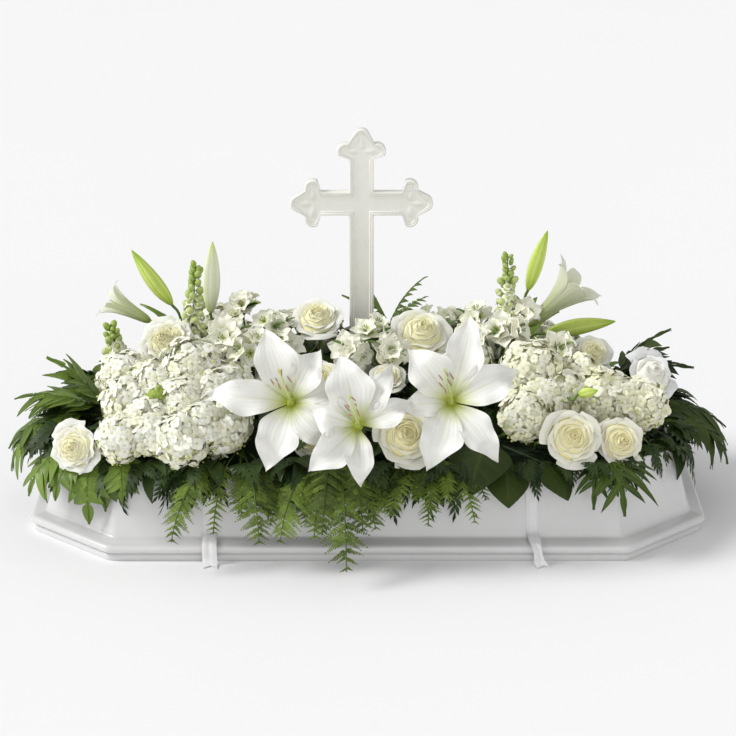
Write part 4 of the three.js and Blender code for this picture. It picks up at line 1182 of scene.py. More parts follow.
@dataclass(frozen=True)
class Lily(Headed):
    """An open lily with two rings of three long petals, its stamens and its pistil."""

    root: tuple[float, float]
    petals: tuple[tuple[float, float, float], ...]
    seed: int
    cup: float = 40.0
    throat: float = 5.5
    filament: float = 55.0
    pistil: float = 66.0

    def petal(self, degrees: float, reach: float, half: float, seed: int) -> Shape:
        """One petal.

        Args:
            degrees: Its turn about the lily's axis.
            reach: How far it stretches.
            half: Its largest half width. Past 21 it is one of the broad inner petals.
            seed: Seed of its ripples.

        Returns:
            A blade of half width w sin(pi u^0.92)^1.12, waved along its edge. Its height is
            cup (1 - e^(-r / 27)) - 13 u^3 less a curl of its outer part, with a groove along its middle, a
            pleat beside it, raised sides and a rippled edge.
        """
        random = np.random.default_rng(seed)
        u, v = spans(28, 15)
        side = np.sign(v)
        lift, keel, ruffle = (3.4, 9.0, 4.2) if half > 21.0 else (0.0, 4.5, 2.6)
        phase = random.uniform(0.0, FULL_TURN, 3)
        width = arch(u**0.92) ** 1.12 + 0.13 * (1 - u) ** 2 + 0.012
        width = width * (1.0 + 0.1 * np.sin(11 * u + 1.7 * side + phase[2]) * ramp(u, 0.15, 0.6))
        out = self.throat + (reach - self.throat) * u
        height = self.cup * (1 - np.exp(-out / 27.0)) - 13.0 * u**3 - 24.0 * ramp(u, 0.58, 1.0) ** 1.6
        height += lift + random.uniform(-0.42, 0.42) * v * half * width * (0.25 + 0.75 * u)
        height += (keel * v**2 + 0.8 * np.cos(3.0 * math.pi * v)) * arch(u)
        height -= 2.2 * np.exp(-((v / 0.12) ** 2)) * arch(np.minimum(u * 1.15, 1.0))
        height += 6.5 * v * np.sin(3.4 * math.pi * u + phase[0]) * u**1.3
        height += np.abs(v) ** 3 * ruffle * np.sin(17 * u + 3 * side + phase[1]) * ramp(u, 0.1, 0.5)
        sway = 3.0 * math.sin(phase[2]) * u**2 * arch(u)
        return surface(out, v * half * width + sway, height).shelled(0.7).placed(turn_about_z(degrees))

    def stamens(self) -> Shape:
        """Six bowed filaments with hinged anthers, and a pistil with a three-lobed end.

        Returns:
            The filaments and pistil in the first finish, and the anthers in the second. They all bend
            together, with the square of their height.
        """
        random = np.random.default_rng(self.seed + 7)
        share = np.linspace(0.0, 1.0, STALK_POINTS)
        still = np.zeros(STALK_POINTS)
        anther = turned(ANTHER, 8, lobes=2, depth=0.25).wearing(SECOND)
        made = [turned(STAMEN_FOOT, 10)]
        for degrees in np.arange(20.0, 380.0, 60.0):
            lean = math.radians(6.0 + random.uniform(-3, 5))
            reach = share * (self.filament + random.uniform(-3, 3))
            bow = 2.0 * share**2 - 2.0 * arch(share)
            path = np.column_stack([reach * math.sin(lean) + bow, still, reach * math.cos(lean)])
            turn = turn_about_z(degrees + random.uniform(-8, 8))
            made.append(tube(path, 0.6 - 0.25 * share, 6, 0.3).placed(turn))
            across = np.array([-0.5, 0.8, 0.2]) + random.normal(0.0, 0.3, 3)
            made.append(anther.placed(frames(turn[:3, :3] @ (path[-1] + [0, 0, 0.6]), across)[0]))
        path = np.column_stack([3.5 * share**2, still, self.pistil * share])
        end = turned(PISTIL_END, 12, lobes=3, depth=0.35).wearing(FIRST, 0.6)
        pistil = [tube(path, 0.9 + 0.2 * share, 7, 0.9), end.placed(frames(path[-1], (0.1, 0, 1))[0])]
        shape = Shape.joined([*made, Shape.joined(pistil).placed(turn_about_z(50.0))])
        bent = np.maximum(shape.points[:, 2:], 0.0) ** 2
        return shape.moved(bent * np.array([-0.0034, 0.0078, -0.0022]))

    def build(self) -> None:
        """Builds the bloom with its stem, and the stamens that sit in its throat."""
        petals = [self.petal(*petal, self.seed + index) for index, petal in enumerate(self.petals)]
        throat = turned(LILY_THROAT, 18, lobes=6, depth=0.12).rooted()
        bloom = Shape.joined([*petals, throat]).placed(self.seat())
        root = np.array([*self.root, ROOT_HEIGHT])
        stem = stem_to(np.array(self.at), self.facing, root, thick=3.0, reach=45.0)
        shape = Shape.joined([bloom, stem.wearing(SECOND)])
        piece(f"{self.name}_bloom", shape, [Finish.LILY, Finish.STEM], [self.name])
        name, inside = f"{self.name}_stamens", self.stamens().placed(self.seat(STAMEN_SEAT))
        piece(f"{name}_fine", inside, [Finish.FILAMENT, Finish.ANTHER], [name])


@dataclass(frozen=True)
class Rose(Headed):
    """A rose: petals on a golden spiral, from a tight heart to wide outer ones that roll back.

    Its stem is worked out from its place before it is moved forward, and open_share widens the outer
    petals' tops.
    """

    radius: float
    seed: int
    petals: int = 24
    frill: float = 0.16
    slot: str = "rose_petals"
    finish: Finish = Finish.ROSE
    open_share: float = 1.0
    forward: float = 0.0

    def head(self) -> Shape:
        """The bloom on the origin, opening along +Z.

        Returns:
            Petal k of n has t = k / (n - 1). It stands at an angle of k golden turns, wraps round by an
            angle that falls with t, and its radius and height at u blend a base, a belly and a top whose
            radius grows and whose height falls with t. Each petal is round-topped: its height falls with
            |v|^2.4. Outer petals roll back at the lip, most of all in their middle.
        """
        random = np.random.default_rng(self.seed)
        size, each = self.radius, (self.petals, 1, 1)
        t = np.linspace(0.0, 1.0, self.petals)[:, None, None]
        u, v = (grid[None] for grid in spans(12, 10))
        turn = np.arange(self.petals)[:, None, None] * GOLDEN_TURN + random.uniform(-0.2, 0.2, each)
        spread = random.uniform(0.93, 1.05, each)
        base = size * (0.05 + 0.12 * t)
        belly = size * (0.11 + 0.79 * t**0.85) * spread
        top = size * (0.05 + (0.93 * t**1.02 + 0.14 * t**6) * self.open_share) * spread
        rise = np.sin(0.5 * math.pi * np.minimum(u / 0.62, 1.0))
        reach = base + (belly - base) * rise + (top - belly) * ramp(u, 0.55, 1.0)
        crown = size * (1.1 - 0.62 * t**1.25) * random.uniform(0.95, 1.06, each)
        height = crown * (0.12 + 0.88 * u**0.92) * (1.0 - 0.34 * t * (1 - u)) - 0.12 * size * (1 - u) * t
        height = height - crown * 0.34 * np.abs(v) ** 2.4 * u**1.5
        lip = ramp(u, 0.72, 1.0) ** 1.5
        reach = reach + size * (0.17 * t**0.9 + 0.07 * t * np.exp(-((v / 0.3) ** 2))) * lip
        height = height - size * 0.16 * t**0.9 * lip**1.6
        phase = random.uniform(0.0, FULL_TURN, (3, *each))
        soft = size * (0.024 + 0.09 * self.frill) * u**2
        height = height + soft * np.sin((4 + 8 * self.frill) * v + phase[0])
        reach = reach + 0.8 * soft * np.sin((5 + 9 * self.frill) * v + phase[1])
        reach = reach * (1.0 + 0.07 * v * (1 - 0.5 * t)) + 0.004 * size
        angle = turn + v * (1.8 - 0.88 * t**0.6) * (1.0 - 0.18 * u**3 * t)
        shade = np.clip(1.25 * t.ravel() ** 0.85 + random.uniform(-0.06, 0.06, self.petals), 0.0, 1.0)
        petals = [lattice(grid, tint=tint) for grid, tint in zip(polar(reach, angle, height), shade)]
        heart = turned(ROSE_HEART, 24).rooted(0.4).wearing(FIRST, 0.1).scaled([size, size, 0.95 * size])
        return Shape.joined([heart, *(petal.shelled(0.018 * size) for petal in petals)])

    def build(self) -> None:
        """Builds the head with its green sepals, and its stem."""
        at = np.array(self.at) + self.forward * np.array(self.facing)
        cup = turned(ROSE_CUP, 14, lobes=5, depth=0.1).scaled(self.radius)
        u, v = spans(7, 3)
        lift = 0.02 + 0.26 * u**1.5 - 0.1 * ramp(u, 0.6, 1.0) - 0.02 * np.abs(v)
        sepal = surface(0.2 + 0.62 * u, v * 0.13 * arch(0.16 + 0.84 * u), lift, outward=True)
        sepals = [sepal.scaled(self.radius).shelled(0.6).placed(turn_about_z(72.0 * k)) for k in range(5)]
        head = Shape.joined([self.head(), Shape.joined([cup, *sepals]).wearing(SECOND, 0.6)])
        stem = stem_to(at, self.facing, root_under(self.at), thick=2.5, reach=22.0).wearing(SECOND, 0.4)
        shape = Shape.joined([head.placed(frames(at, self.facing)[0]), stem])
        piece(f"{self.name}_bloom", shape, [self.finish, Finish.STEM], [self.name])


@dataclass(frozen=True)
class Ball:
    """One ball of florets. Without an aim it looks away from its foot in the foam."""

    centre: Point
    radius: float
    aim: Optional[Point] = None
    foot: Optional[tuple[float, float]] = None


@dataclass(frozen=True)
class Hydrangeas:
    """Balls of four-petalled florets that have grown together, each on its own stem.

    Fillers are lesser balls without a stem, a button is a tight green head of beads, and pale is the mean
    tint of the florets. Crowding is how many florets cover a ball of one floret's size, and overlap the
    share of another ball's radius within which a floret is left out.
    """

    name: str
    balls: tuple[Ball, ...]
    seed: int
    floret: float = 8.0
    fillers: tuple[tuple[Point, float], ...] = ()
    button: Optional[Point] = None
    pale: float = 0.9
    crowding: float = 9.6
    overlap: float = 0.88
    bud_share: float = 0.26
    button_beads: int = 26
    button_radius: float = 9.5
    button_bead: float = 4.4

    @staticmethod
    def template() -> Shape:
        """One floret on the origin, opening along +Z.

        Returns:
            Four round-ended petals, each a patch that is widest past its middle and cupped, and an eye.
        """
        u, v = spans(4, 3)
        width = np.array([0.1, 0.44, 0.56, 0.22])[:, None]
        lift = 0.10 + 0.20 * u - 0.34 * u**3 - 0.12 * np.abs(v) * arch(u)
        petal = surface(0.06 + 0.94 * u, v * width, lift)
        eye = turned(FLORET_EYE, 4).rooted()
        return Shape.joined([*(petal.placed(turn_about_z(90.0 * k)) for k in range(4)), eye])

    def ball(self, ball: Ball, random: np.random.Generator, stemmed: bool) -> Shape:
        """One ball, and its stem if it has one.

        Args:
            ball: The ball.
            random: Source of its small differences.
            stemmed: Whether it has a stem of its own.

        Returns:
            Florets spread over it by the golden turn, but for those inside another ball, with buds between
            them, over a pale core.
        """
        centre = np.array(ball.centre)
        root = np.array([*ball.foot, ROOT_HEIGHT]) if ball.foot else root_under(ball.centre)
        aim = unit(ball.aim if ball.aim else centre - root)
        count = int(self.crowding * (ball.radius / self.floret) ** 2)
        order = np.arange(count) + 0.5
        z = 1.0 - 2.0 * order / count
        ways = polar(np.sqrt(1.0 - z**2), order * GOLDEN_TURN, z)
        ways = unit(ways + random.normal(0.0, 0.07, ways.shape))
        lump = 0.07 * np.sin(7 * ways[:, 0] + ball.radius) * np.cos(8 * ways[:, 2] + ball.centre[0])
        depth = ball.radius * (0.93 + lump + random.uniform(-0.12, 0.04, count))
        spots = centre + ways * depth[:, None]
        free = ways @ aim > -0.9
        near = [(other.centre, other.radius) for other in self.balls if other is not ball]
        for middle, radius in near + [filler for filler in self.fillers if filler[0] != ball.centre]:
            free &= np.linalg.norm(spots - np.array(middle), axis=1) > self.overlap * radius
        ways, spots = ways[free], spots[free]
        count = len(ways)
        tilt = ways + random.normal(0.0, 0.3, ways.shape)
        size = self.floret * random.uniform(0.7, 1.15, count)
        shade = np.clip(random.normal(self.pale, 0.18, count) - 0.3 * (ways[:, 2] < -0.2), 0.1, 1.0)
        florets = self.template().repeated(frames(spots, tilt, random.uniform(0.0, 6.28, count), size), shade)
        buds = int(self.bud_share * count)
        chosen = np.argsort(ways[:, 2] + random.normal(0.0, 0.7, count))[:buds]
        at = spots[chosen] + 1.5 * ways[chosen] + random.normal(0.0, 2.5, (buds, 3))
        places = frames(at, ways[chosen], 0.0, random.uniform(1.3, 2.3, buds))
        beads = turned(FLORET_BUD, 6).repeated(places, random.uniform(0.3, 1.0, buds)).wearing(SECOND)
        core = turned(HEAD_CORE, 16).placed(frames(centre, aim, 0.0, ball.radius)[0]).wearing(FOURTH, 0.5)
        under = centre - 0.8 * ball.radius * aim
        stem = stem_to(under, aim, root, thick=3.0, reach=6.0).wearing(THIRD, 0.5)
        return Shape.joined([florets, beads, core, stem][:4 if stemmed else 3])

    def build(self) -> None:
        """Builds every ball of the bunch, its fillers and its button as one piece."""
        random = np.random.default_rng(self.seed)
        made = [self.ball(ball, random, True) for ball in self.balls]
        made += [self.ball(Ball(centre, radius), random, False) for centre, radius in self.fillers]
        if self.button:
            count = self.button_beads
            ways = unit(np.array([-0.15, -1.0, 0.35]) + random.normal(0.0, 0.75, (count, 3)))
            places = frames(self.button + self.button_radius * ways, ways, 0.0, self.button_bead)
            beads = turned(BUTTON_BEAD, 7).repeated(places, random.uniform(0.0, 0.25, count))
            made.append(beads.wearing(SECOND))
        finishes = [Finish.FLORET, Finish.EYE, Finish.STEM, Finish.CORE]
        piece(f"{self.name}_florets", Shape.joined(made), finishes, [self.name])


def star_bloom(length: float, cup: float, seed: int, tint: float, petals: int = 6) -> Shape:
    """Small bloom of pointed petals on the origin, opening along +Z.

    Args:
        length: Length of a petal.
        cup: Rise of the petals, as a share of their length.
        seed: Seed of the petals' small differences.
        tint: Tint of the petals.
        petals: Number of petals.

    Returns:
        Petals of half width 0.33 l sin(pi u^0.9)^0.9 and height cup l sin(pi u / 2), whose tips bend back,
        with every other one a little higher, and a green heart and stamens.
    """
    random = np.random.default_rng(seed)
    u, v = spans(8, 5)
    width = 0.33 * length * (arch(u**0.9) ** 0.9 + 0.1 * (1 - u)) + 0.1
    made = []
    for index in range(petals):
        reach = length * random.uniform(0.88, 1.08)
        lift = reach * (cup * np.sin(0.5 * math.pi * u) - 0.3 * cup * u**3) + 0.14 * length * v**2 * u
        lift = lift + 0.03 * length * np.sin(7 * u + index) * v * u + 0.8 * (index % 2)
        petal = surface(1.4 + (reach - 1.4) * u * (1.0 - 0.3 * cup), v * width, lift, tint=tint).shelled(0.5)
        made.append(petal.placed(turn_about_z(360.0 * index / petals + random.uniform(-9, 9))))
    heart = turned(STAR_HEART, 8).wearing(SECOND, 0.7)
    share = np.linspace(0.0, 1.0, 4)
    path = np.outer(share, [0.2 * length, 0.0, (0.24 + 0.5 * cup) * length])
    stamen = tube(path, 0.3 + 0.5 * ramp(share, 0.7, 1.0), sides=4).wearing(SECOND, 1.0)
    return Shape.joined([*made, heart, *(stamen.placed(turn_about_z(60.0 * k + 20.0)) for k in range(6))])


@dataclass(frozen=True)
class SmallBlooms(Forked):
    """A forked spray of small star blooms and buds between the large blooms."""

    blooms: tuple[tuple[float, Point, Point], ...]
    seed: int
    lesser: int = 5

    def build(self) -> None:
        """Builds each bloom with lesser ones, a bud and two small leaves, on stalks from the fork."""
        random = np.random.default_rng(self.seed)
        bud = turned(SMALL_BUD, 8, lobes=3, depth=0.14).wearing(FIRST, 0.35)
        made = [self.trunk(radius=2.4, points=6)]
        for index, (radius, at, facing) in enumerate(self.blooms):
            base, aim, seed = np.array(at), unit(facing), self.seed * 10 + index
            stalk = stalk_path(self.fork, base, aim, reach=20.0)
            middle = stalk[STALK_POINTS // 2]
            made.append(tube(stalk, 1.5, sides=6).wearing(SECOND, 0.4))
            for _ in range(2):
                heading, length = random.uniform(0.0, 360.0), random.uniform(40, 56)
                leaf = Blade(Cut.PLAIN, heading, length, bare=6.0, width=7.5, rise=58.0, bend=50.0)
                made.append(leaf.shape().moved(middle).wearing(SECOND, random.uniform(0.3, 0.9)))
            head = star_bloom(radius * 1.3, random.uniform(0.15, 0.55), seed, 1.0)
            made.append(head.placed(frames(base, aim, random.uniform(0.0, 1.0))[0]))
            for extra in range(self.lesser + 1):
                way = aim + random.normal(0.0, 0.55, 3)
                way[2] = abs(way[2]) * 0.8
                way = unit(way)
                end = base - 9.0 * aim + way * random.uniform(13.0, 22.0)
                path = smooth_path(np.array([middle, (middle + end) / 2, end]), 6)
                made.append(tube(path, 0.9, sides=5).wearing(SECOND, 0.5))
                small = bud
                if extra < self.lesser:
                    length, cup = radius * random.uniform(0.8, 1.05), random.uniform(0.2, 0.8)
                    small = star_bloom(length, cup, seed * 7 + extra, 0.85)
                made.append(small.placed(frames(end, way)[0]))
        finishes = [Finish.SMALL, Finish.STEM]
        piece(f"{self.name}_fine", Shape.joined(made), finishes, [self.name])


@dataclass(frozen=True)
class Stock(Headed):
    """A spire of small round buds, with open florets between them on its lower part."""

    length: float
    radius: float
    seed: int
    buds: int = 44
    opened: float = 0.55

    def build(self) -> None:
        """Sets buds on a golden spiral up the stem: they shrink, close in and grow greener to the tip."""
        random = np.random.default_rng(self.seed)
        share = (np.arange(self.buds) + 0.5) / self.buds
        turn = np.arange(self.buds) * GOLDEN_TURN + random.normal(0.0, 0.35, self.buds)
        reach = self.radius * (1.06 - 0.7 * share) * random.uniform(0.5, 1.15, self.buds)
        spots = polar(reach, turn, self.length * (0.02 + 0.95 * share))
        ways = polar(1.0, turn, 0.5 + share) + random.normal(0, 0.15, (self.buds, 3))
        size = self.radius * (0.54 - 0.16 * share) * random.uniform(0.75, 1.2, self.buds)
        places = frames(spots, ways, 0.0, size)
        beads = turned(STOCK_BUD, 7).repeated(places, 1.0 - share * 1.1).wearing(SECOND)
        low = share < self.opened
        wide = self.radius * random.uniform(0.42, 0.6, int(low.sum()))
        places = frames(spots[low], ways[low], turn[low], wide)
        florets = Hydrangeas.template().repeated(places, random.uniform(0.55, 0.95, int(low.sum())))
        inner = np.linspace([0, 0, 0], [0, 0, 0.95 * self.length], self.buds)
        stalks = [tube(np.linspace(inner[index], spots[index], 3), 0.6, 4).wearing(THIRD, 0.8)
                  for index in range(0, self.buds, 2)]
        axis = tube(np.linspace([0, 0, -2.0], [0, 0, self.length * 0.97], 8), np.linspace(1.9, 0.7, 8), 6)
        head = Shape.joined([florets, beads, axis.wearing(THIRD, 0.7), *stalks]).placed(self.seat())
        stem = stem_to(np.array(self.at), self.facing, root_under(self.at), thick=2.0, reach=30.0)
        finishes = [Finish.FLORET, Finish.SPIKE, Finish.STEM]
        shape = Shape.joined([head, stem.wearing(THIRD, 0.4)])
        piece(f"{self.name}_spire", shape, finishes, [self.name])


def bud_shape(length: float, radius: float, bow: float = 0.06) -> Shape:
    """Closed lily bud on the origin, pointing along +Z.

    Args:
        length: Its length.
        radius: Its largest radius.
        bow: How far its middle stands to one side, as a share of its length.

    Returns:
        A bowed body with three soft ribs: its radius is r (sin(pi s^0.85)^0.75 (1 - 0.12 s) +
        0.12 (1 - s)), fuller below the middle.
    """
    share = np.linspace(0.02, 0.985, 22)[:, None]
    turn = circle(24)
    reach = radius * (arch(share**0.85) ** 0.75 * (1.0 - 0.12 * share) + 0.12 * (1 - share))
    ridge = 1.0 + 0.07 * np.cos(3 * turn) - 0.03 * np.abs(np.cos(3 * turn))
    rings = polar(reach * ridge, turn, share * length)
    rings[..., 0] += bow * length * arch(share) ** 1.3
    return closed_rings(rings, np.array([0.0, 0.0, -2.0]), np.array([0.0, 0.0, length]))


def trumpet_shape(length: float, mouth: float, throat: float, parted: float, seed: int) -> Shape:
    """Half-open lily on the origin, opening along +Z.

    Args:
        length: Its length.
        mouth: Radius of its mouth.
        throat: Radius of its throat.
        parted: How far its petals stand apart, from 0 to 1.
        seed: Seed of the petals' small differences.

    Returns:
        Six overlapping petals. Their radius and height follow a soft curve from the throat to the mouth,
        their share of the turn narrows to a tip, and the tips bend out and back.
    """
    random = np.random.default_rng(seed)
    u, v = spans(24, 11)
    made = []
    for index in range(6):
        wide, narrower, tip = (40.0, 0.96, 0.92) if index % 2 else (34.0, 1.0, 0.88)
        half = math.radians(wide) * (1.0 - ramp(u, 0.5, 1.0) ** 1.3 * 0.97)
        half = half * (1.0 - parted * ramp(u, 0.1, 0.6))
        flare = mouth * random.uniform(0.9, 1.12)
        curve = smooth_path(np.array([
            (2.4, 0.0), (throat, 0.10), (1.7 * throat, 0.42), (0.62 * mouth, 0.70), (flare, 0.88),
            (1.3 * flare, tip),
        ]), 24)
        wave = 1.2 * np.sin(11 * u + 3 * v + index) * u**2 * np.abs(v)
        reach = curve[:, :1] * narrower + 0.6 * np.cos(0.5 * math.pi * v)
        reach = reach + 0.05 * mouth * v**2 * ramp(u, 0.4, 0.9) + wave
        points = polar(reach, index * math.pi / 3.0 + v * half, length * curve[:, 1:] + 0.5 * wave)
        made.append(lattice(points).shelled(0.7))
    return Shape.joined(made)


@dataclass(frozen=True)
class LilySpray(Forked):
    """A green lily stem that forks into buds and narrow leaves.

    A bud has its length, radius, place and facing, and the number of its finish in the piece.
    """

    buds: tuple[tuple[float, float, Point, Point, int], ...]
    stalk_ends: tuple[tuple[Point, Point], ...]
    leaves: tuple["Blade", ...]

    def stalk(self, at: Point, facing: Point, over: float, thick: float) -> Shape:
        """A stalk from the fork to the base of a bud or bloom, or a little over it."""
        path = stalk_path(self.fork, np.array(at), unit(facing), reach=18.0, over=over)
        return tube(path, np.linspace(1.7, thick, STALK_POINTS)).wearing(SECOND, 0.6)

    def build(self) -> None:
        """Builds the stem, a stalk to each bud and bloom, the buds and the leaves."""
        made = [self.trunk(radius=2.9, points=8, sides=10)]
        for length, radius, at, facing, part in self.buds:
            made.append(self.stalk(at, facing, 0.0, 2.1))
            made.append(bud_shape(length, radius).wearing(part).placed(frames(at, facing)[0]))
        made += [self.stalk(at, facing, 1.0, 2.2) for at, facing in self.stalk_ends]
        made += [leaf.shape().wearing(THIRD, 0.8).moved(self.fork) for leaf in self.leaves]
        finishes = [Finish.BUD, Finish.STEM, Finish.CUT, Finish.WHITE_BUD]
        piece(f"{self.name}_fine", Shape.joined(made), finishes, [self.name])


@dataclass(frozen=True)
class LilyTrumpet(Headed):
    """A half-open lily on the end of a spray's stalk."""

    length: float
    mouth: float
    throat: float
    seed: int
    parted: float = 0.0

    def build(self) -> None:
        """Builds the bloom on its green cup, with the tip of its pistil in its mouth."""
        shape = trumpet_shape(self.length, self.mouth, self.throat, self.parted, self.seed)
        cup = turned(TRUMPET_CUP, 12).wearing(SECOND, 0.8)
        path = np.linspace([0, 0, 4.0], [2.0, 0, 0.84 * self.length], 8)
        pistil = tube(path, 1.0, sides=6).wearing(SECOND, 0.9)
        whole = Shape.joined([shape, cup, pistil]).placed(self.seat(BLOOM_SEAT))
        piece(f"{self.name}_bloom", whole, [Finish.TRUMPET, Finish.FILAMENT], [self.name])


# Foliage


class Cut(Enum):
    """How a blade of foliage is cut, with the turns in degrees of the lesser blades that grow beside it."""

    FERN = ("fern", (-11.0, 10.0))
    FINGER = ("finger", (13.0,))
    PLAIN = ("plain", ())
    SPRIG = ("sprig", ())


def leaflet(start: float, angle: float, x: Array, y: Array, lift: Array, tint: float = 0.0) -> Shape:
    """Leaflet on grids of its own x and y, that leaves a rib at a place along it and at an angle."""
    c, s = math.cos(angle), math.sin(angle)
    return surface(start + x * c - y * s, x * s + y * c, lift, tint=tint)


@dataclass(frozen=True)
class Blade:
    """One frond or leaf: its flat outline, laid along an arched rib from its own root.

    Its length has a bare foot; it leaves at the rise angle and turns down by the bend angle between the
    shares start and end. Fold lowers its sides, sweep leans its fingers or leaflets to the tip, breadth
    widens the fingers, and beside holds the turns of its lesser blades where they aren't its cut's own.
    """

    kind: Cut
    heading: float
    length: float
    bare: float
    width: float
    rise: float
    bend: float
    start: float = 0.2
    end: float = 1.0
    fold: float = 0.2
    sweep: float = 0.5
    pairs: int = 4
    tint: float = 0.5
    breadth: float = 0.46
    beside: Optional[tuple[float, ...]] = None

    def dice(self, headings: int, lengths: int = 1) -> np.random.Generator:
        """Seeded source of small differences, from the blade's heading and length."""
        return np.random.default_rng(int(self.heading * headings + self.length * lengths) % 99991)

    def angle(self, share: Array) -> Array:
        """The rib's angle to the level at a share of its length, in radians."""
        turned_down = np.clip((share - self.start) / (self.end - self.start), 0, 1)
        return np.radians(self.rise - self.bend * turned_down)

    def laid(self, flat: Shape) -> Shape:
        """Lays a flat shape along the rib.

        Args:
            flat: A shape whose points are (along, across, lift).

        Returns:
            The shape in space: both halves fold down, and lift stands square to the rib.
        """
        steps = 96
        along, across, lift = flat.points.T
        angle = self.angle((np.arange(steps) + 0.5) / steps)
        strides = np.stack([np.cos(angle), np.sin(angle)]) * self.length / steps
        share = along / self.length
        held = np.clip(share, 0.0, 1.0)
        ticks = np.linspace(0.0, 1.0, steps + 1)
        x, z = (np.interp(held, ticks, np.append(0.0, np.cumsum(stride))) for stride in strides)
        c, s = np.cos(self.angle(held)), np.sin(self.angle(held))
        beyond = (share - held) * self.length
        drop = self.fold * np.abs(across) - lift
        return flat.at(np.column_stack([x + c * beyond + s * drop, across, z + s * beyond - c * drop]))

    def rib(self, half: float, taper: float) -> Shape:
        """The stalk and rib of a leaf.

        Args:
            half: Half width at the foot.
            taper: Half width at the tip, as a share of that.

        Returns:
            A slim strip of the leaf's length, raised along its middle.
        """
        u, v = spans(22, 3)
        flat = surface(u * self.length, v * half * (1.0 - (1.0 - taper) * u), 0.8 * half * (1 - np.abs(v)),
                       tint=self.tint * 0.6)
        return self.laid(flat.shelled(0.9))

    def fern(self) -> Shape:
        """A frond cut twice.

        Returns:
            Pairs of side ribs lean towards the tip, each at its own angle and dip, and each carries pairs
            of kite-shaped leaflets that shrink towards its end. Their reach is w (1 - s)^0.75 (0.62 + 1.1 s).
        """
        random = self.dice(7, 3)
        pairs, subs = 15, 10
        each = (pairs, 2)
        s = ((np.arange(pairs) + 0.5) / pairs)[:, None]
        reach = (self.width * (1 - s) ** 0.75 * (0.62 + 1.1 * s) + 4.0) * random.uniform(0.86, 1.2, each)
        lean = (math.atan2(1.0, self.sweep + 0.12) + random.normal(0.0, 0.1, each)) * np.array([-1.0, 1.0])
        dip = 0.16 + random.normal(0.0, 0.16, each)
        start = self.bare + (s + random.uniform(-0.015, 0.015, each)) * (self.length - self.bare)
        grids = np.meshgrid(np.arange(pairs), [0, 1], np.arange(subs + 1), [-1, 1], indexing="ij")
        pair, side, sub, hand = (grid[(grids[2] < subs) | (grids[3] > 0)] for grid in grids)
        last = sub == subs
        out, turn = reach[pair, side], lean[pair, side]
        q = (sub + 0.3) / (subs + 0.3)
        root = polar(out * q, turn, 0.0)[:, :2] + start[pair, side][:, None] * [1.0, 0.0]
        turn = turn + hand * np.radians(np.where(last, 0.0, 47.0))
        size = out * np.where(last, 0.14, 0.17 * (1 - q) ** 0.7 + 0.06) * random.uniform(0.8, 1.2, len(q))
        ahead = polar(size, turn, 0.0)[:, :2]
        square = np.stack([-ahead[:, 1], ahead[:, 0]], axis=1) * 0.27
        middle = root + 0.45 * ahead
        corner = np.stack([root, middle + square, root + ahead, middle - square], axis=1)
        level = np.outer(size, [0.0, -0.1, -0.14, -0.1]) + (0.3 - dip[pair, side] * out * q**2)[:, None]
        index = np.arange(len(q))[:, None] * 4
        faces = np.concatenate([index + [0, 3, 2, 2], index + [0, 2, 1, 1]])
        branch = random.normal(0, 0.18, each)[pair, side]
        shade = np.clip(self.tint + branch + random.normal(0, 0.12, len(q)) + 0.3 * (q - 0.5), 0, 1)
        kites = Shape(
            np.concatenate([corner, level[..., None]], axis=2).reshape(-1, 3), faces,
            np.tile([0.0, 0.5, 1.0, 0.5], len(q)), np.tile([0.0, 1.0, 0.0, -1.0], len(q)),
            np.repeat(shade, 4), np.zeros(len(faces), dtype=int),
        )
        x, y = np.linspace(0.0, 1.0, 5)[:, None], np.array([-0.45, 0.45])
        ribs = [
            leaflet(start[place], lean[place], x * reach[place], y * (1.0 - 0.6 * x),
                    0.25 - dip[place] * reach[place] * x**2, self.tint * 0.7)
            for place in np.ndindex(*each)
        ]
        return Shape.joined([self.laid(Shape.joined([kites, *ribs])), self.rib(1.2, 0.3)])

    def finger(self) -> Shape:
        """A leaf cut into fingers.

        Returns:
            A narrow middle blade, pairs of long pointed fingers that curve towards the tip, and one more at
            the tip. A finger's half width is W sin(pi (0.22 + 0.78 u))^0.9, folded up along its own rib,
            and the fingers' reach is w (0.55 + 2.2 s (1 - s)).
        """
        random = self.dice(11, 5)
        count = self.pairs + 1
        step = (self.length - self.bare) / (count + 1.6)
        u, v = spans(10, 5)
        half = (self.breadth * step + 0.4) * arch(0.22 + 0.78 * u) ** 0.9
        made = []
        for pair in range(count + 1):
            share = (pair + 0.4) / count
            start = self.bare + pair * step
            for side in ((-1.0, 1.0) if pair < count else (0.0,)):
                out = self.width * (0.55 + 2.2 * share * (1 - share)) * random.uniform(0.86, 1.2)
                ahead = self.sweep * out * random.uniform(0.9, 1.9) if side else self.length - start
                curve = random.uniform(1.05, 1.6)
                spine = np.stack([start + ahead * u[:, 0] ** curve, side * out * u[:, 0] ** 0.92], axis=-1)
                way = unit(np.gradient(spine, axis=0))
                x, y = spine[:, :1] - way[:, 1:] * v * half, spine[:, 1:] + way[:, :1] * v * half
                lift = 0.22 * half * np.abs(v) - random.uniform(-0.08, 0.3) * out * u**2
                lift = lift + 0.5 * np.sin(8 * u + pair) * v
                made.append(surface(x, y, lift, tint=self.tint + random.uniform(-0.22, 0.22)))
        width = (2.2 + 0.3 * step * ramp(u, 0.0, 0.3)) * (1.0 - 0.75 * u)
        along = self.bare + (self.length - self.bare) * u
        made.append(surface(along, v * width, 0.2 + 0.1 * np.abs(v) * width, tint=self.tint))
        return Shape.joined([self.laid(Shape.joined(made)).shelled(0.7), self.rib(1.7, 0.3)])

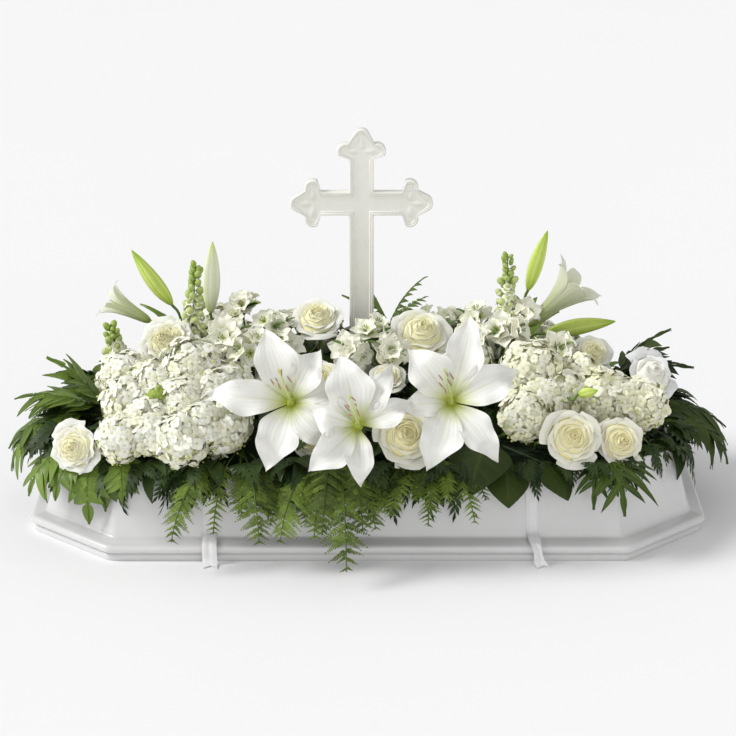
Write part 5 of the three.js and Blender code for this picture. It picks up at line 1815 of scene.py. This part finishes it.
    def plain(self) -> Shape:
        """A plain pointed leaf.

        Returns:
            A blade of half width w sin(pi s^0.8)^0.9 with a finely toothed and waved edge, and its rib.
        """
        random = self.dice(13, 7)
        u, v = spans(20, 7)
        width = self.width * arch(u**0.8) ** 0.9 * (1.0 + 0.025 * np.sin(60 * u)) + 0.5 * (1 - u)
        lift = 0.9 * v**2 * np.sin(9 * u + random.uniform(0, 6.28) + 2 * np.sign(v)) + 0.9 * (1 - np.abs(v))
        lift = lift + 0.35 * np.cos(FULL_TURN * (8 * u - 1.2 * np.abs(v))) * arch(u) * np.abs(v)
        blade = surface(self.bare + (self.length - self.bare) * u, v * width, lift, tint=self.tint)
        return Shape.joined([self.laid(blade).shelled(0.6), self.rib(1.2, 0.25)])

    def sprig(self) -> Shape:
        """A sprig.

        Returns:
            A rib with pairs of narrow pointed leaflets, each folded along its middle.
        """
        random = self.dice(17)
        u, v = spans(7, 3)
        made = []
        for pair in range(self.pairs + 1):
            share = pair / self.pairs
            start = self.bare + share * (self.length - self.bare - 4.0)
            out = 1.3 * self.width * (1.0 - 0.45 * share)
            for side in ((-1.0, 1.0) if pair < self.pairs else (0.0,)):
                angle = side * math.atan2(1.0, self.sweep) + random.uniform(-0.12, 0.12)
                wide = v * 0.19 * out * arch(0.1 + 0.9 * u**0.8)
                lift = 0.10 * out * np.abs(v) * arch(u) - 0.12 * out * u**2
                made.append(leaflet(start, angle, u * out, wide, lift, random.uniform(0.2, 0.8)))
        return Shape.joined([self.laid(Shape.joined(made)).shelled(0.5), self.rib(0.9, 0.4)])

    def company(self) -> list["Blade"]:
        """The blade with its lesser neighbours.

        Returns:
            The blade, and the fronds or leaves of its kind that grow beside it from the same fork.
        """
        random = self.dice(19)
        own = replace(self, tint=self.tint + random.uniform(-0.3, 0.45))
        return [own] + [
            replace(self, heading=self.heading + turn * random.uniform(0.7, 1.3), width=0.86 * self.width,
                    length=self.length * random.uniform(0.74, 0.9), rise=self.rise + random.uniform(2.0, 9.0),
                    tint=random.uniform(0.0, 0.9))
            for turn in (self.kind.value[1] if self.beside is None else self.beside)
        ]

    def shape(self) -> Shape:
        """The blade about its own root, turned by its heading."""
        return getattr(self, self.kind.value[0])().placed(turn_about_z(self.heading))


@dataclass(frozen=True)
class Foliage(Forked):
    """Fronds or leaves that share one stalk in the foam."""

    blades: tuple[Blade, ...]
    finish: Finish = Finish.CUT
    slot: str = "leaf_green"

    def build(self) -> None:
        """Builds the stalk and its blades as one piece."""
        blades = [near.shape().moved(self.fork) for blade in self.blades for near in blade.company()]
        shape = Shape.joined([self.trunk(radius=2.3, points=5), *blades])
        piece(f"{self.name}_fine", shape, [self.finish, Finish.STEM], [self.name])


@dataclass(frozen=True)
class LeafBed:
    """Dark leaves that stand over the foam and lean over the rim, under and between the blooms. Those in
    front are painted darker still, as the shade that falls under the blooms.
    """

    name: str = "leaf_bed"
    inner: int = 520
    outer: int = 420
    seed: int = 5
    rim: tuple[tuple[float, float], ...] = (
        (-306, -184), (306, -184), (416, -88), (416, 88), (306, 184), (-306, 184), (-416, 88), (-416, -88),
    )

    @staticmethod
    def leaf() -> Shape:
        """A short pointed leaf.

        Returns:
            A blade of unit length and half width 0.2 sin(pi u^0.8), that bows up and over.
        """
        u, v = spans(8, 3)
        lift = 0.30 * np.sin(0.5 * math.pi * u) - 0.42 * u**2 + 0.06 * np.abs(v) * arch(u)
        return surface(u, v * (arch(u**0.8) * 0.2 + 0.012), lift)

    @staticmethod
    def frond() -> Shape:
        """A short frond.

        Returns:
            A rib of unit length with six pairs of slim leaflets that shrink and lean to the ones at its tip.
        """
        u, v = spans(3, 3)
        made = []
        for rank, side in np.ndindex(7, 2):
            share = rank / 6.0
            out = 0.36 - 0.2 * share
            angle = (side * 2 - 1) * math.radians(62.0 - 40.0 * share) if rank < 6 else 0.0
            wide = v * 0.2 * out * arch(0.15 + 0.85 * u)
            made.append(leaflet(0.16 + 0.7 * share, angle, u * out, wide, -0.2 * out * u**2))
        flat = Shape.joined([*made, surface(u * 0.95, v * 0.012 * (1.2 - u), 0.004)])
        along = flat.points[:, :1]
        return flat.moved((0.26 * np.sin(0.5 * math.pi * along) - 0.4 * along**2) * [0.0, 0.0, 1.0])

    def build(self) -> None:
        """Scatters leaves and fronds over the foam, and a fringe of lower ones that lean out over the rim.

        The first finish, darker to paint the shade under the blooms, is worn in front, and the second one
        behind.
        """
        random = np.random.default_rng(self.seed)
        count = self.inner + self.outer
        half_x, front_y, back_y, corner_x, slope = 392, -136, 168, 306.0, 0.873
        x, y = random.uniform(-half_x, half_x, self.inner), random.uniform(front_y, back_y, self.inner)
        limit = back_y - slope * np.maximum(np.abs(x) - corner_x, 0.0)
        y = np.clip(y, -limit, limit)
        edge = np.maximum(np.abs(x) / 380.0, np.abs(y) / 160.0)
        z = random.uniform(122, 156, self.inner) - 24 * ramp(edge, 0.55, 1.0)
        z = z + 24 * ramp(y, 20, 90) * ramp(edge, 1.0, 0.7)
        heading = np.arctan2(y * 2.6, x) + random.normal(0, 0.7, self.inner)
        rise = random.uniform(16, 66, self.inner) * (1.0 - 0.62 * ramp(edge, 0.5, 1.0))
        corners = np.array([*self.rim, self.rim[0]], float)
        sides = np.diff(corners, axis=0)
        lengths = np.linalg.norm(sides, axis=1)
        chosen = random.choice(len(sides), self.outer, p=lengths / lengths.sum())
        on = corners[chosen] + sides[chosen] * random.uniform(0, 1, (self.outer, 1))
        x, y = np.append(x, on[:, 0]), np.append(y, on[:, 1])
        z = np.append(z, random.uniform(120, 132, self.outer))
        outward = np.arctan2(-sides[chosen, 0], sides[chosen, 1])
        heading = np.append(heading, outward + random.normal(0, 0.5, self.outer))
        rise = np.radians(np.append(rise, random.uniform(-58, 8, self.outer)))
        size = random.uniform(38, 68, count) * (1.0 - 0.34 * (x > 140) * (y < -100))
        roll = random.normal(0, 0.35, count)[:, None]
        shades = random.uniform(0.0, 0.8, count)
        plain = (np.arange(count) % 5 < 2) | (np.arange(count) < 0.6 * self.inner)
        size = (size * np.where(plain, 1.0, 1.25))[:, None]
        ahead = polar(np.cos(rise), heading, np.sin(rise))
        side = np.stack([-np.sin(heading), np.cos(heading), np.zeros(count)], axis=1)
        up = np.cross(ahead, side)
        c, s = np.cos(roll), np.sin(roll)
        places = placings(ahead * size, (side * c + up * s) * size, (up * c - side * s) * size,
                          np.stack([x, y, z], axis=1))
        # Front leaves take the darker first finish as painted shade under the blooms; the leaves behind take
        # the second.
        made = [
            kind.repeated(places[chosen], shades[chosen]).wearing(part)
            for kind, which in ((self.leaf(), plain), (self.frond(), ~plain))
            for part, chosen in ((FIRST, which & (y <= 50)), (SECOND, which & (y > 50)))
        ]
        piece(self.name, Shape.joined(made), [Finish.BED, Finish.MID])


# The pieces of the arrangement

RIBBONS = (
    Ribbon("ribbon_left", -213.0, 3.0, 20.0, 0.2),
    Ribbon("ribbon_right", 217.0, 17.0, 18.0, 0.9),
)

LILIES = (
    Lily("lily_left", (-100, -205, 218), (-0.05, -0.9, 0.42), (-104, -96),
         ((111, 104, 27), (63, 80, 22), (15, 76, 18), (315, 82, 25), (251, 96, 27), (175, 114, 23)), 101),
    Lily("lily_centre", (-13, -240, 200), (0.03, -0.93, 0.36), (-14, -100),
         ((104, 96, 30), (60, 92, 18), (24, 78, 18), (272, 80, 18), (222, 88, 23), (162, 66, 24)), 202),
    Lily("lily_right", (109, -205, 219), (0.04, -0.9, 0.42), (112, -96),
         ((76, 118, 24), (24, 98, 26), (307, 100, 21.5), (249, 96, 27), (186, 70, 18), (128, 90, 28)), 303),
)

ROSES = (
    Rose("rose_front_centre", (49, -172, 156), (0.05, -0.86, 0.5), 36, 1, forward=16.0),
    Rose("rose_front_left", (-74, -150, 146), (-0.2, -0.85, 0.3), 25, 2),
    Rose("rose_right_low", (270, -182, 157), (0.1, -0.85, 0.5), 34, 3),
    Rose("rose_right_end", (333, -164, 146), (0.25, -0.85, 0.45), 31, 4),
    Rose("rose_right_high", (314, 28, 200), (0.2, -0.7, 0.7), 26, 5, finish=Finish.IVORY),
    Rose("rose_top_left", (-70, 26, 250), (-0.1, -0.5, 0.85), 31, 6, finish=Finish.IVORY),
    Rose("rose_top_right", (72, -6, 238), (0.1, -0.6, 0.8), 37, 7, finish=Finish.IVORY),
    Rose("rose_mid_left", (-66, -95, 204), (0.1, -0.7, 0.7), 31, 8, finish=Finish.IVORY),
    Rose("rose_mid_right", (27, -88, 207), (0, -0.6, 0.8), 21, 9),
    Rose("rose_back", (0, 116, 192), (0, 0.65, 0.75), 33, 10),
    Rose("rose_back_left", (-76, 128, 168), (-0.1, 0.8, 0.5), 31, 14),
    Rose("rose_back_right", (72, 130, 166), (0.1, 0.8, 0.5), 31, 15),
    Rose("ruffled_left_end", (-388, -172, 142), (-0.3, -0.85, 0.3), 30, 11, 28, 0.4, "ruffled_petals",
         Finish.IVORY),
    Rose("ruffled_left", (-276, -4, 226), (-0.15, -0.65, 0.75), 34, 12, 28, 0.55, "ruffled_petals",
         Finish.IVORY),
    Rose("ruffled_right_end", (393, -2, 178), (0.3, -0.65, 0.7), 32, 13, 12, 0.25, "ruffled_petals",
         Finish.WHITE, 1.05),
)

HYDRANGEAS = (
    Hydrangeas("hydrangeas_left", (
        Ball((-200, -158, 172), 47), Ball((-296, -140, 172), 50), Ball((-240, -92, 222), 48),
        Ball((-248, -200, 164), 38, (0, -1, 0.2), (-252, -104)),
        Ball((-330, -186, 160), 34, (-0.1, -1, 0.1), (-326, -100)), Ball((-332, -74, 206), 40),
    ), 11, fillers=(
        ((-250, -146, 200), 36), ((-288, -106, 206), 38), ((-212, -124, 204), 36), ((-326, -128, 192), 36),
        ((-288, -186, 168), 32), ((-222, -184, 178), 34), ((-188, -104, 206), 34),
    ), button=(-283, -158, 213)),
    Hydrangeas("hydrangeas_right", (
        Ball((223, -92, 219), 47), Ball((212, -150, 180), 38), Ball((312, -96, 184), 44),
        Ball((374, -94, 174), 38), Ball((268, -72, 186), 36),
    ), 17, fillers=(
        ((262, -112, 200), 34), ((344, -98, 186), 34), ((236, -130, 198), 32), ((292, -66, 208), 30),
    ), pale=0.65),
    Hydrangeas("hydrangeas_back_left", (
        Ball((-222, 112, 196), 52), Ball((-290, 92, 176), 42), Ball((-162, 126, 170), 36),
    ), 21, 8.7, fillers=(((-258, 106, 190), 38), ((-190, 124, 186), 36))),
    Hydrangeas("hydrangeas_back_right", (
        Ball((212, 114, 194), 52), Ball((280, 94, 174), 42), Ball((154, 128, 170), 36),
    ), 22, 8.7, fillers=(((248, 108, 188), 38), ((180, 124, 184), 36))),
    Hydrangeas("hydrangea_mid_left", (Ball((-122, -44, 196), 34),), 23, fillers=(((-104, -60, 214), 24),)),
    Hydrangeas("hydrangea_mid_centre", (Ball((-24, -38, 184), 27),), 24),
    Hydrangeas("hydrangea_mid_right", (Ball((124, -56, 204), 36),), 25, fillers=(((150, -44, 224), 24),)),
)

STOCKS = (
    Stock("stock_left", (-247, 20, 228), (0.07, 0, 1), 116, 15, 31),
    Stock("stock_right", (193, 8, 262), (0, 0, 1), 98, 14, 32),
    Stock("stock_left_low", (-352, 22, 188), (-0.1, -0.2, 1), 70, 16, 33, 34),
)


def narrow(heading: float, length: float, rise: float, bend: float) -> Blade:
    """A narrow leaf on a lily stem."""
    return Blade(Cut.PLAIN, heading, length, 8.0, width=8.0, rise=rise, bend=bend, fold=0.3, tint=0.8)


SPRAYS = (
    LilySpray(
        "lily_spray_left", (-244, 32), (-258, 44, 215),
        ((98, 11, (-276, 50, 269), (-0.56, 0, 0.83), 0), (106, 12, (-222, 45, 259), (0.05, 0, 1), 3)),
        (((-303, 45, 244), (-0.86, 0, 0.5)),),
        (narrow(150, 92, 50, 50), narrow(60, 88, 60, 40)),
    ),
    LilySpray(
        "lily_spray_right", (196, 34), (212, 52, 200),
        ((92, 10, (225, 55, 289), (0.28, 0, 0.96), 0), (102, 12, (251, 60, 223), (0.98, 0, 0.18), 0),
         (28, 7, (282, -146, 208), (0.85, -0.3, 0.3), 0)),
        (((222.5, 45, 236.5), (0.72, 0, 0.68)),),
        (narrow(40, 96, 50, 60), narrow(170, 84, 60, 40)),
    ),
)

TRUMPETS = (
    LilyTrumpet("lily_half_open_left", (-303, 45, 244), (-0.86, 0, 0.5), 76, 24, 5.5, 41, 0.55),
    LilyTrumpet("lily_trumpet_right", (222.5, 45, 236.5), (0.72, 0, 0.68), 108, 36, 7.0, 42),
)

SMALL_BLOOMS = (
    SmallBlooms("small_blooms_left", (-160, 4), (-166, 2, 190), (
        (28, (-196, -18, 246), (-0.2, -0.7, 0.7)), (25, (-158, -38, 236), (0, -0.7, 0.7)),
        (24, (-134, 8, 252), (0.2, -0.3, 1)), (22, (-176, 22, 274), (-0.1, -0.4, 1)),
        (22, (-112, -12, 226), (0.3, -0.5, 0.8)),
    ), 51),
    SmallBlooms("small_blooms_centre", (24, -20), (20, -22, 200), (
        (24, (-26, -50, 236), (-0.3, -0.7, 0.6)), (23, (30, -58, 236), (0.2, -0.8, 0.6)),
        (22, (2, -28, 254), (0, -0.4, 1)),
    ), 52),
    SmallBlooms("small_blooms_right", (176, -28), (182, -10, 190), (
        (25, (186, -22, 252), (-0.1, -0.7, 0.7)), (24, (258, -22, 226), (0.3, -0.6, 0.7)),
        (24, (146, -34, 246), (-0.3, -0.6, 0.7)), (22, (218, 10, 268), (0.2, -0.5, 0.9)),
        (21, (156, 12, 262), (-0.2, -0.2, 1)),
    ), 53),
    SmallBlooms("small_blooms_back_left", (-88, 72), (-92, 74, 178), (
        (25, (-118, 84, 226), (-0.2, 0.7, 0.7)), (24, (-64, 90, 222), (0.1, 0.7, 0.7)),
        (22, (-90, 58, 240), (0, 0.2, 1)),
    ), 54),
    SmallBlooms("small_blooms_back_right", (88, 72), (92, 74, 178), (
        (25, (118, 84, 226), (0.2, 0.7, 0.7)), (24, (64, 90, 222), (-0.1, 0.7, 0.7)),
        (22, (92, 56, 240), (0, 0.2, 1)),
    ), 55),
)


def hanging(heading: float, length: float, bare: float, width: float, bend: float,
            beside: Optional[tuple[float, ...]] = None) -> Blade:
    """A fern frond that lies over the rim and hangs outside the wall."""
    return Blade(Cut.FERN, heading, length, bare, width, 3.0, bend, start=0.32, fold=0.15, beside=beside)


def bedded(heading: float) -> Blade:
    """A leaf that lies over the foam at the back."""
    return Blade(Cut.PLAIN, heading, length=104.0, bare=20.0, width=19.0, rise=8.0, bend=16.0, start=0.1)


def fingered(heading: float, length: float, bare: float, width: float, rise: float, bend: float,
             start: float = 0.2, end: float = 1.0, pairs: int = 3) -> Blade:
    """A leaf cut into fingers."""
    return Blade(Cut.FINGER, heading, length, bare, width, rise, bend, start, end, 0.12, 0.7, pairs)


def broad(heading: float, length: float, bare: float, width: float, rise: float, bend: float,
          start: float = 0.3) -> Blade:
    """A broad pointed leaf that lies over the rim in front."""
    return Blade(Cut.PLAIN, heading, length, bare, width, rise, bend, start, fold=0.16)


def leaflets(heading: float, length: float, width: float, rise: float) -> Blade:
    """A side of the sprig, with narrow leaflets."""
    return Blade(Cut.SPRIG, heading, length, 8.0, width, rise, bend=30.0, sweep=0.8, pairs=7)


FOLIAGE = (
    Foliage("sprig_centre", (26, 66), (30, 66, 232),
            (leaflets(0, 86, 18, 68), leaflets(32, 70, 15, 40), leaflets(170, 62, 14, 62),
             broad(186, 84, 12, 9, 44, 24), broad(160, 70, 12, 8, 62, 20)), slot="leaf_dark"),
    Foliage("fern_front_left", (-176, -88), (-174, -118, BED_COLLAR),
            (hanging(-118, 212, 82, 34, 74, (-11.0,)), hanging(-101, 184, 80, 17, 76, ()),
             hanging(-87, 152, 76, 22, 66, ()), hanging(-79, 200, 76, 34, 80, (10.0,))),
            Finish.FERN, "fern_green"),
    Foliage("fern_front_centre", (-46, -88), (-42, -118, BED_COLLAR),
            (hanging(-123, 186, 86, 30, 70, (10.0,)), hanging(-116, 206, 78, 40, 82),
             hanging(-101, 188, 76, 36, 84), hanging(-86, 252, 74, 44, 84), hanging(-72, 188, 78, 30, 60)),
            Finish.FERN, "fern_green"),
    Foliage("fern_front_right", (92, -88), (96, -118, BED_COLLAR),
            (hanging(-114, 178, 76, 22, 46), hanging(-96, 184, 74, 20, 52), hanging(-74, 176, 76, 17, 56)),
            Finish.FERN, "fern_green"),
    Foliage("fern_back_left", (-150, 84), (-150, 106, BED_COLLAR),
            (hanging(118, 204, 96, 40, 78), hanging(98, 208, 84, 38, 80), hanging(72, 206, 86, 38, 80),
             bedded(172), bedded(12)), Finish.FERN, "fern_green"),
    Foliage("fern_back_right", (140, 84), (140, 106, BED_COLLAR),
            (bedded(168), bedded(8), hanging(108, 206, 86, 38, 80), hanging(82, 208, 84, 38, 80),
             hanging(62, 204, 96, 40, 78)), Finish.FERN, "fern_green"),
    Foliage("leaves_left_end", (-350, -8), (-366, -8, 124),
            (fingered(193, 156, 46, 42, 8, 66, 0.3, pairs=4), fingered(178, 138, 30, 40, 30, 50, pairs=4),
             fingered(170, 122, 24, 34, 60, 40), fingered(146, 140, 34, 38, 20, 62),
             fingered(118, 128, 30, 34, 26, 56), fingered(198, 178, 62, 42, 3, 92, 0.36, pairs=4))),
    Foliage("leaves_left_low", (-330, -84), (-344, -96, BED_COLLAR),
            (fingered(210, 162, 66, 38, 4, 84, 0.36, pairs=4), fingered(232, 150, 76, 26, 3, 88, 0.42),
             fingered(253, 176, 78, 26, 2, 96, 0.4, 0.75), fingered(278, 152, 92, 22, 4, 90, 0.5))),
    Foliage("leaves_right_end", (350, 2), (366, 2, 124),
            (fingered(-22, 156, 42, 42, 8, 62, 0.3, pairs=4), fingered(4, 152, 40, 44, 10, 58, 0.3, pairs=4),
             fingered(34, 148, 36, 40, 12, 58), fingered(62, 128, 30, 34, 22, 56),
             fingered(-14, 178, 62, 42, 3, 86, 0.36, pairs=4)), Finish.DARK, "leaf_dark"),
    Foliage("leaves_right_low", (304, -84), (314, -112, BED_COLLAR),
            (replace(fingered(-97, 150, 70, 26, 3, 74, 0.44), breadth=0.24),
             replace(fingered(-80, 164, 66, 38, 3, 78, 0.44), breadth=0.24)), Finish.MID),
    Foliage("leaves_right_high", (332, 58), (350, 62, 140),
            (fingered(-14, 128, 20, 28, 66, 40), fingered(-8, 124, 34, 28, 36, 46),
             fingered(30, 112, 24, 26, 44, 50)), Finish.DARK, "leaf_dark"),
    Foliage("leaves_broad_front", (176, -84), (182, -112, BED_COLLAR),
            (broad(-110, 160, 62, 42, 24, 98), broad(-88, 140, 66, 30, 4, 64),
             broad(-54, 156, 98, 24, 2, 66, 0.52)), Finish.DARK, "leaf_dark"),
)

ARRANGEMENT = (
    Box(), Cross(), *RIBBONS, *LILIES, *ROSES, *HYDRANGEAS, *STOCKS, *SPRAYS, *TRUMPETS, *SMALL_BLOOMS,
    *FOLIAGE, LeafBed(),
)


@dataclass(frozen=True)
class KeptNodes:
    """The nodes of the CAD model that stay, and the finish that each one takes."""

    finishes: tuple[tuple[str, Finish], ...] = (("cross_stake", Finish.WOOD), ("floral_foam", Finish.FOAM))

    def build(self) -> None:
        """Puts the finishes on the nodes' own material slots."""
        for name, finish in self.finishes:
            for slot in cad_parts[name].material_slots:
                slot.material = PALETTE.of(finish)
            LOG.info("%s: kept", name)


@dataclass(frozen=True)
class Studio:
    """The pale floor, soft light from the upper left with a weaker one from the front, and the camera."""

    floor_half: float = 12.0
    camera_at: Point = (0.0, -3.144, 1.337)
    tilt: float = 70.0
    lens: float = 116.9
    world: float = 0.54
    sun: float = 2.28
    sun_spread: float = 22.0
    sun_tilt: Point = (5.0, -49.0, 0.0)
    fill: float = 0.46
    fill_spread: float = 50.0
    fill_tilt: Point = (72.0, 0.0, 8.0)

    def floor(self) -> None:
        """Lays a wide plane under the box."""
        half = self.floor_half
        mesh = bpy.data.meshes.new("floor")
        corners = [(-half, -half, 0.0), (half, -half, 0.0), (half, half, 0.0), (-half, half, 0.0)]
        mesh.from_pydata(corners, [], [(0, 1, 2, 3)])
        mesh.materials.append(PALETTE.of(Finish.FLOOR))
        plane = bpy.data.objects.new("floor", mesh)
        bpy.context.scene.collection.objects.link(plane)

    def light(self, name: str, energy: float, spread: float, turn: Point) -> None:
        """Adds one sun of a given strength.

        Args:
            name: Its name.
            energy: Its strength.
            spread: Its spread in degrees.
            turn: Its turn about X, Y and Z in degrees.
        """
        data = bpy.data.lights.new(name, "SUN")
        data.energy = energy
        data.angle = math.radians(spread)
        lamp = bpy.data.objects.new(name, data)
        lamp.rotation_euler = [math.radians(degrees) for degrees in turn]
        bpy.context.scene.collection.objects.link(lamp)

    def build(self) -> None:
        """Builds the floor, lights, background, camera and the way the picture is toned."""
        self.floor()
        self.light("key", self.sun, self.sun_spread, self.sun_tilt)
        self.light("fill", self.fill, self.fill_spread, self.fill_tilt)
        world = bpy.data.worlds.new("studio")
        world.use_nodes = True
        background = world.node_tree.nodes["Background"]
        background.inputs["Color"].default_value = (1.0, 1.0, 1.0, 1.0)
        background.inputs["Strength"].default_value = self.world
        scene = bpy.context.scene
        scene.world = world
        data = bpy.data.cameras.new("camera")
        data.lens = self.lens
        data.clip_end = 100.0
        camera = bpy.data.objects.new("camera", data)
        camera.location = self.camera_at
        camera.rotation_euler = (math.radians(self.tilt), 0.0, 0.0)
        scene.collection.objects.link(camera)
        scene.camera = camera
        scene.view_settings.view_transform = "Standard"
        scene.view_settings.look = "None"


def main() -> None:
    """Builds every piece of the arrangement, then the studio."""
    logging.basicConfig(level=logging.INFO, format="%(message)s")
    for part in (*ARRANGEMENT, KeptNodes(), Studio()):
        part.build()


if __name__ == "__main__":
    main()
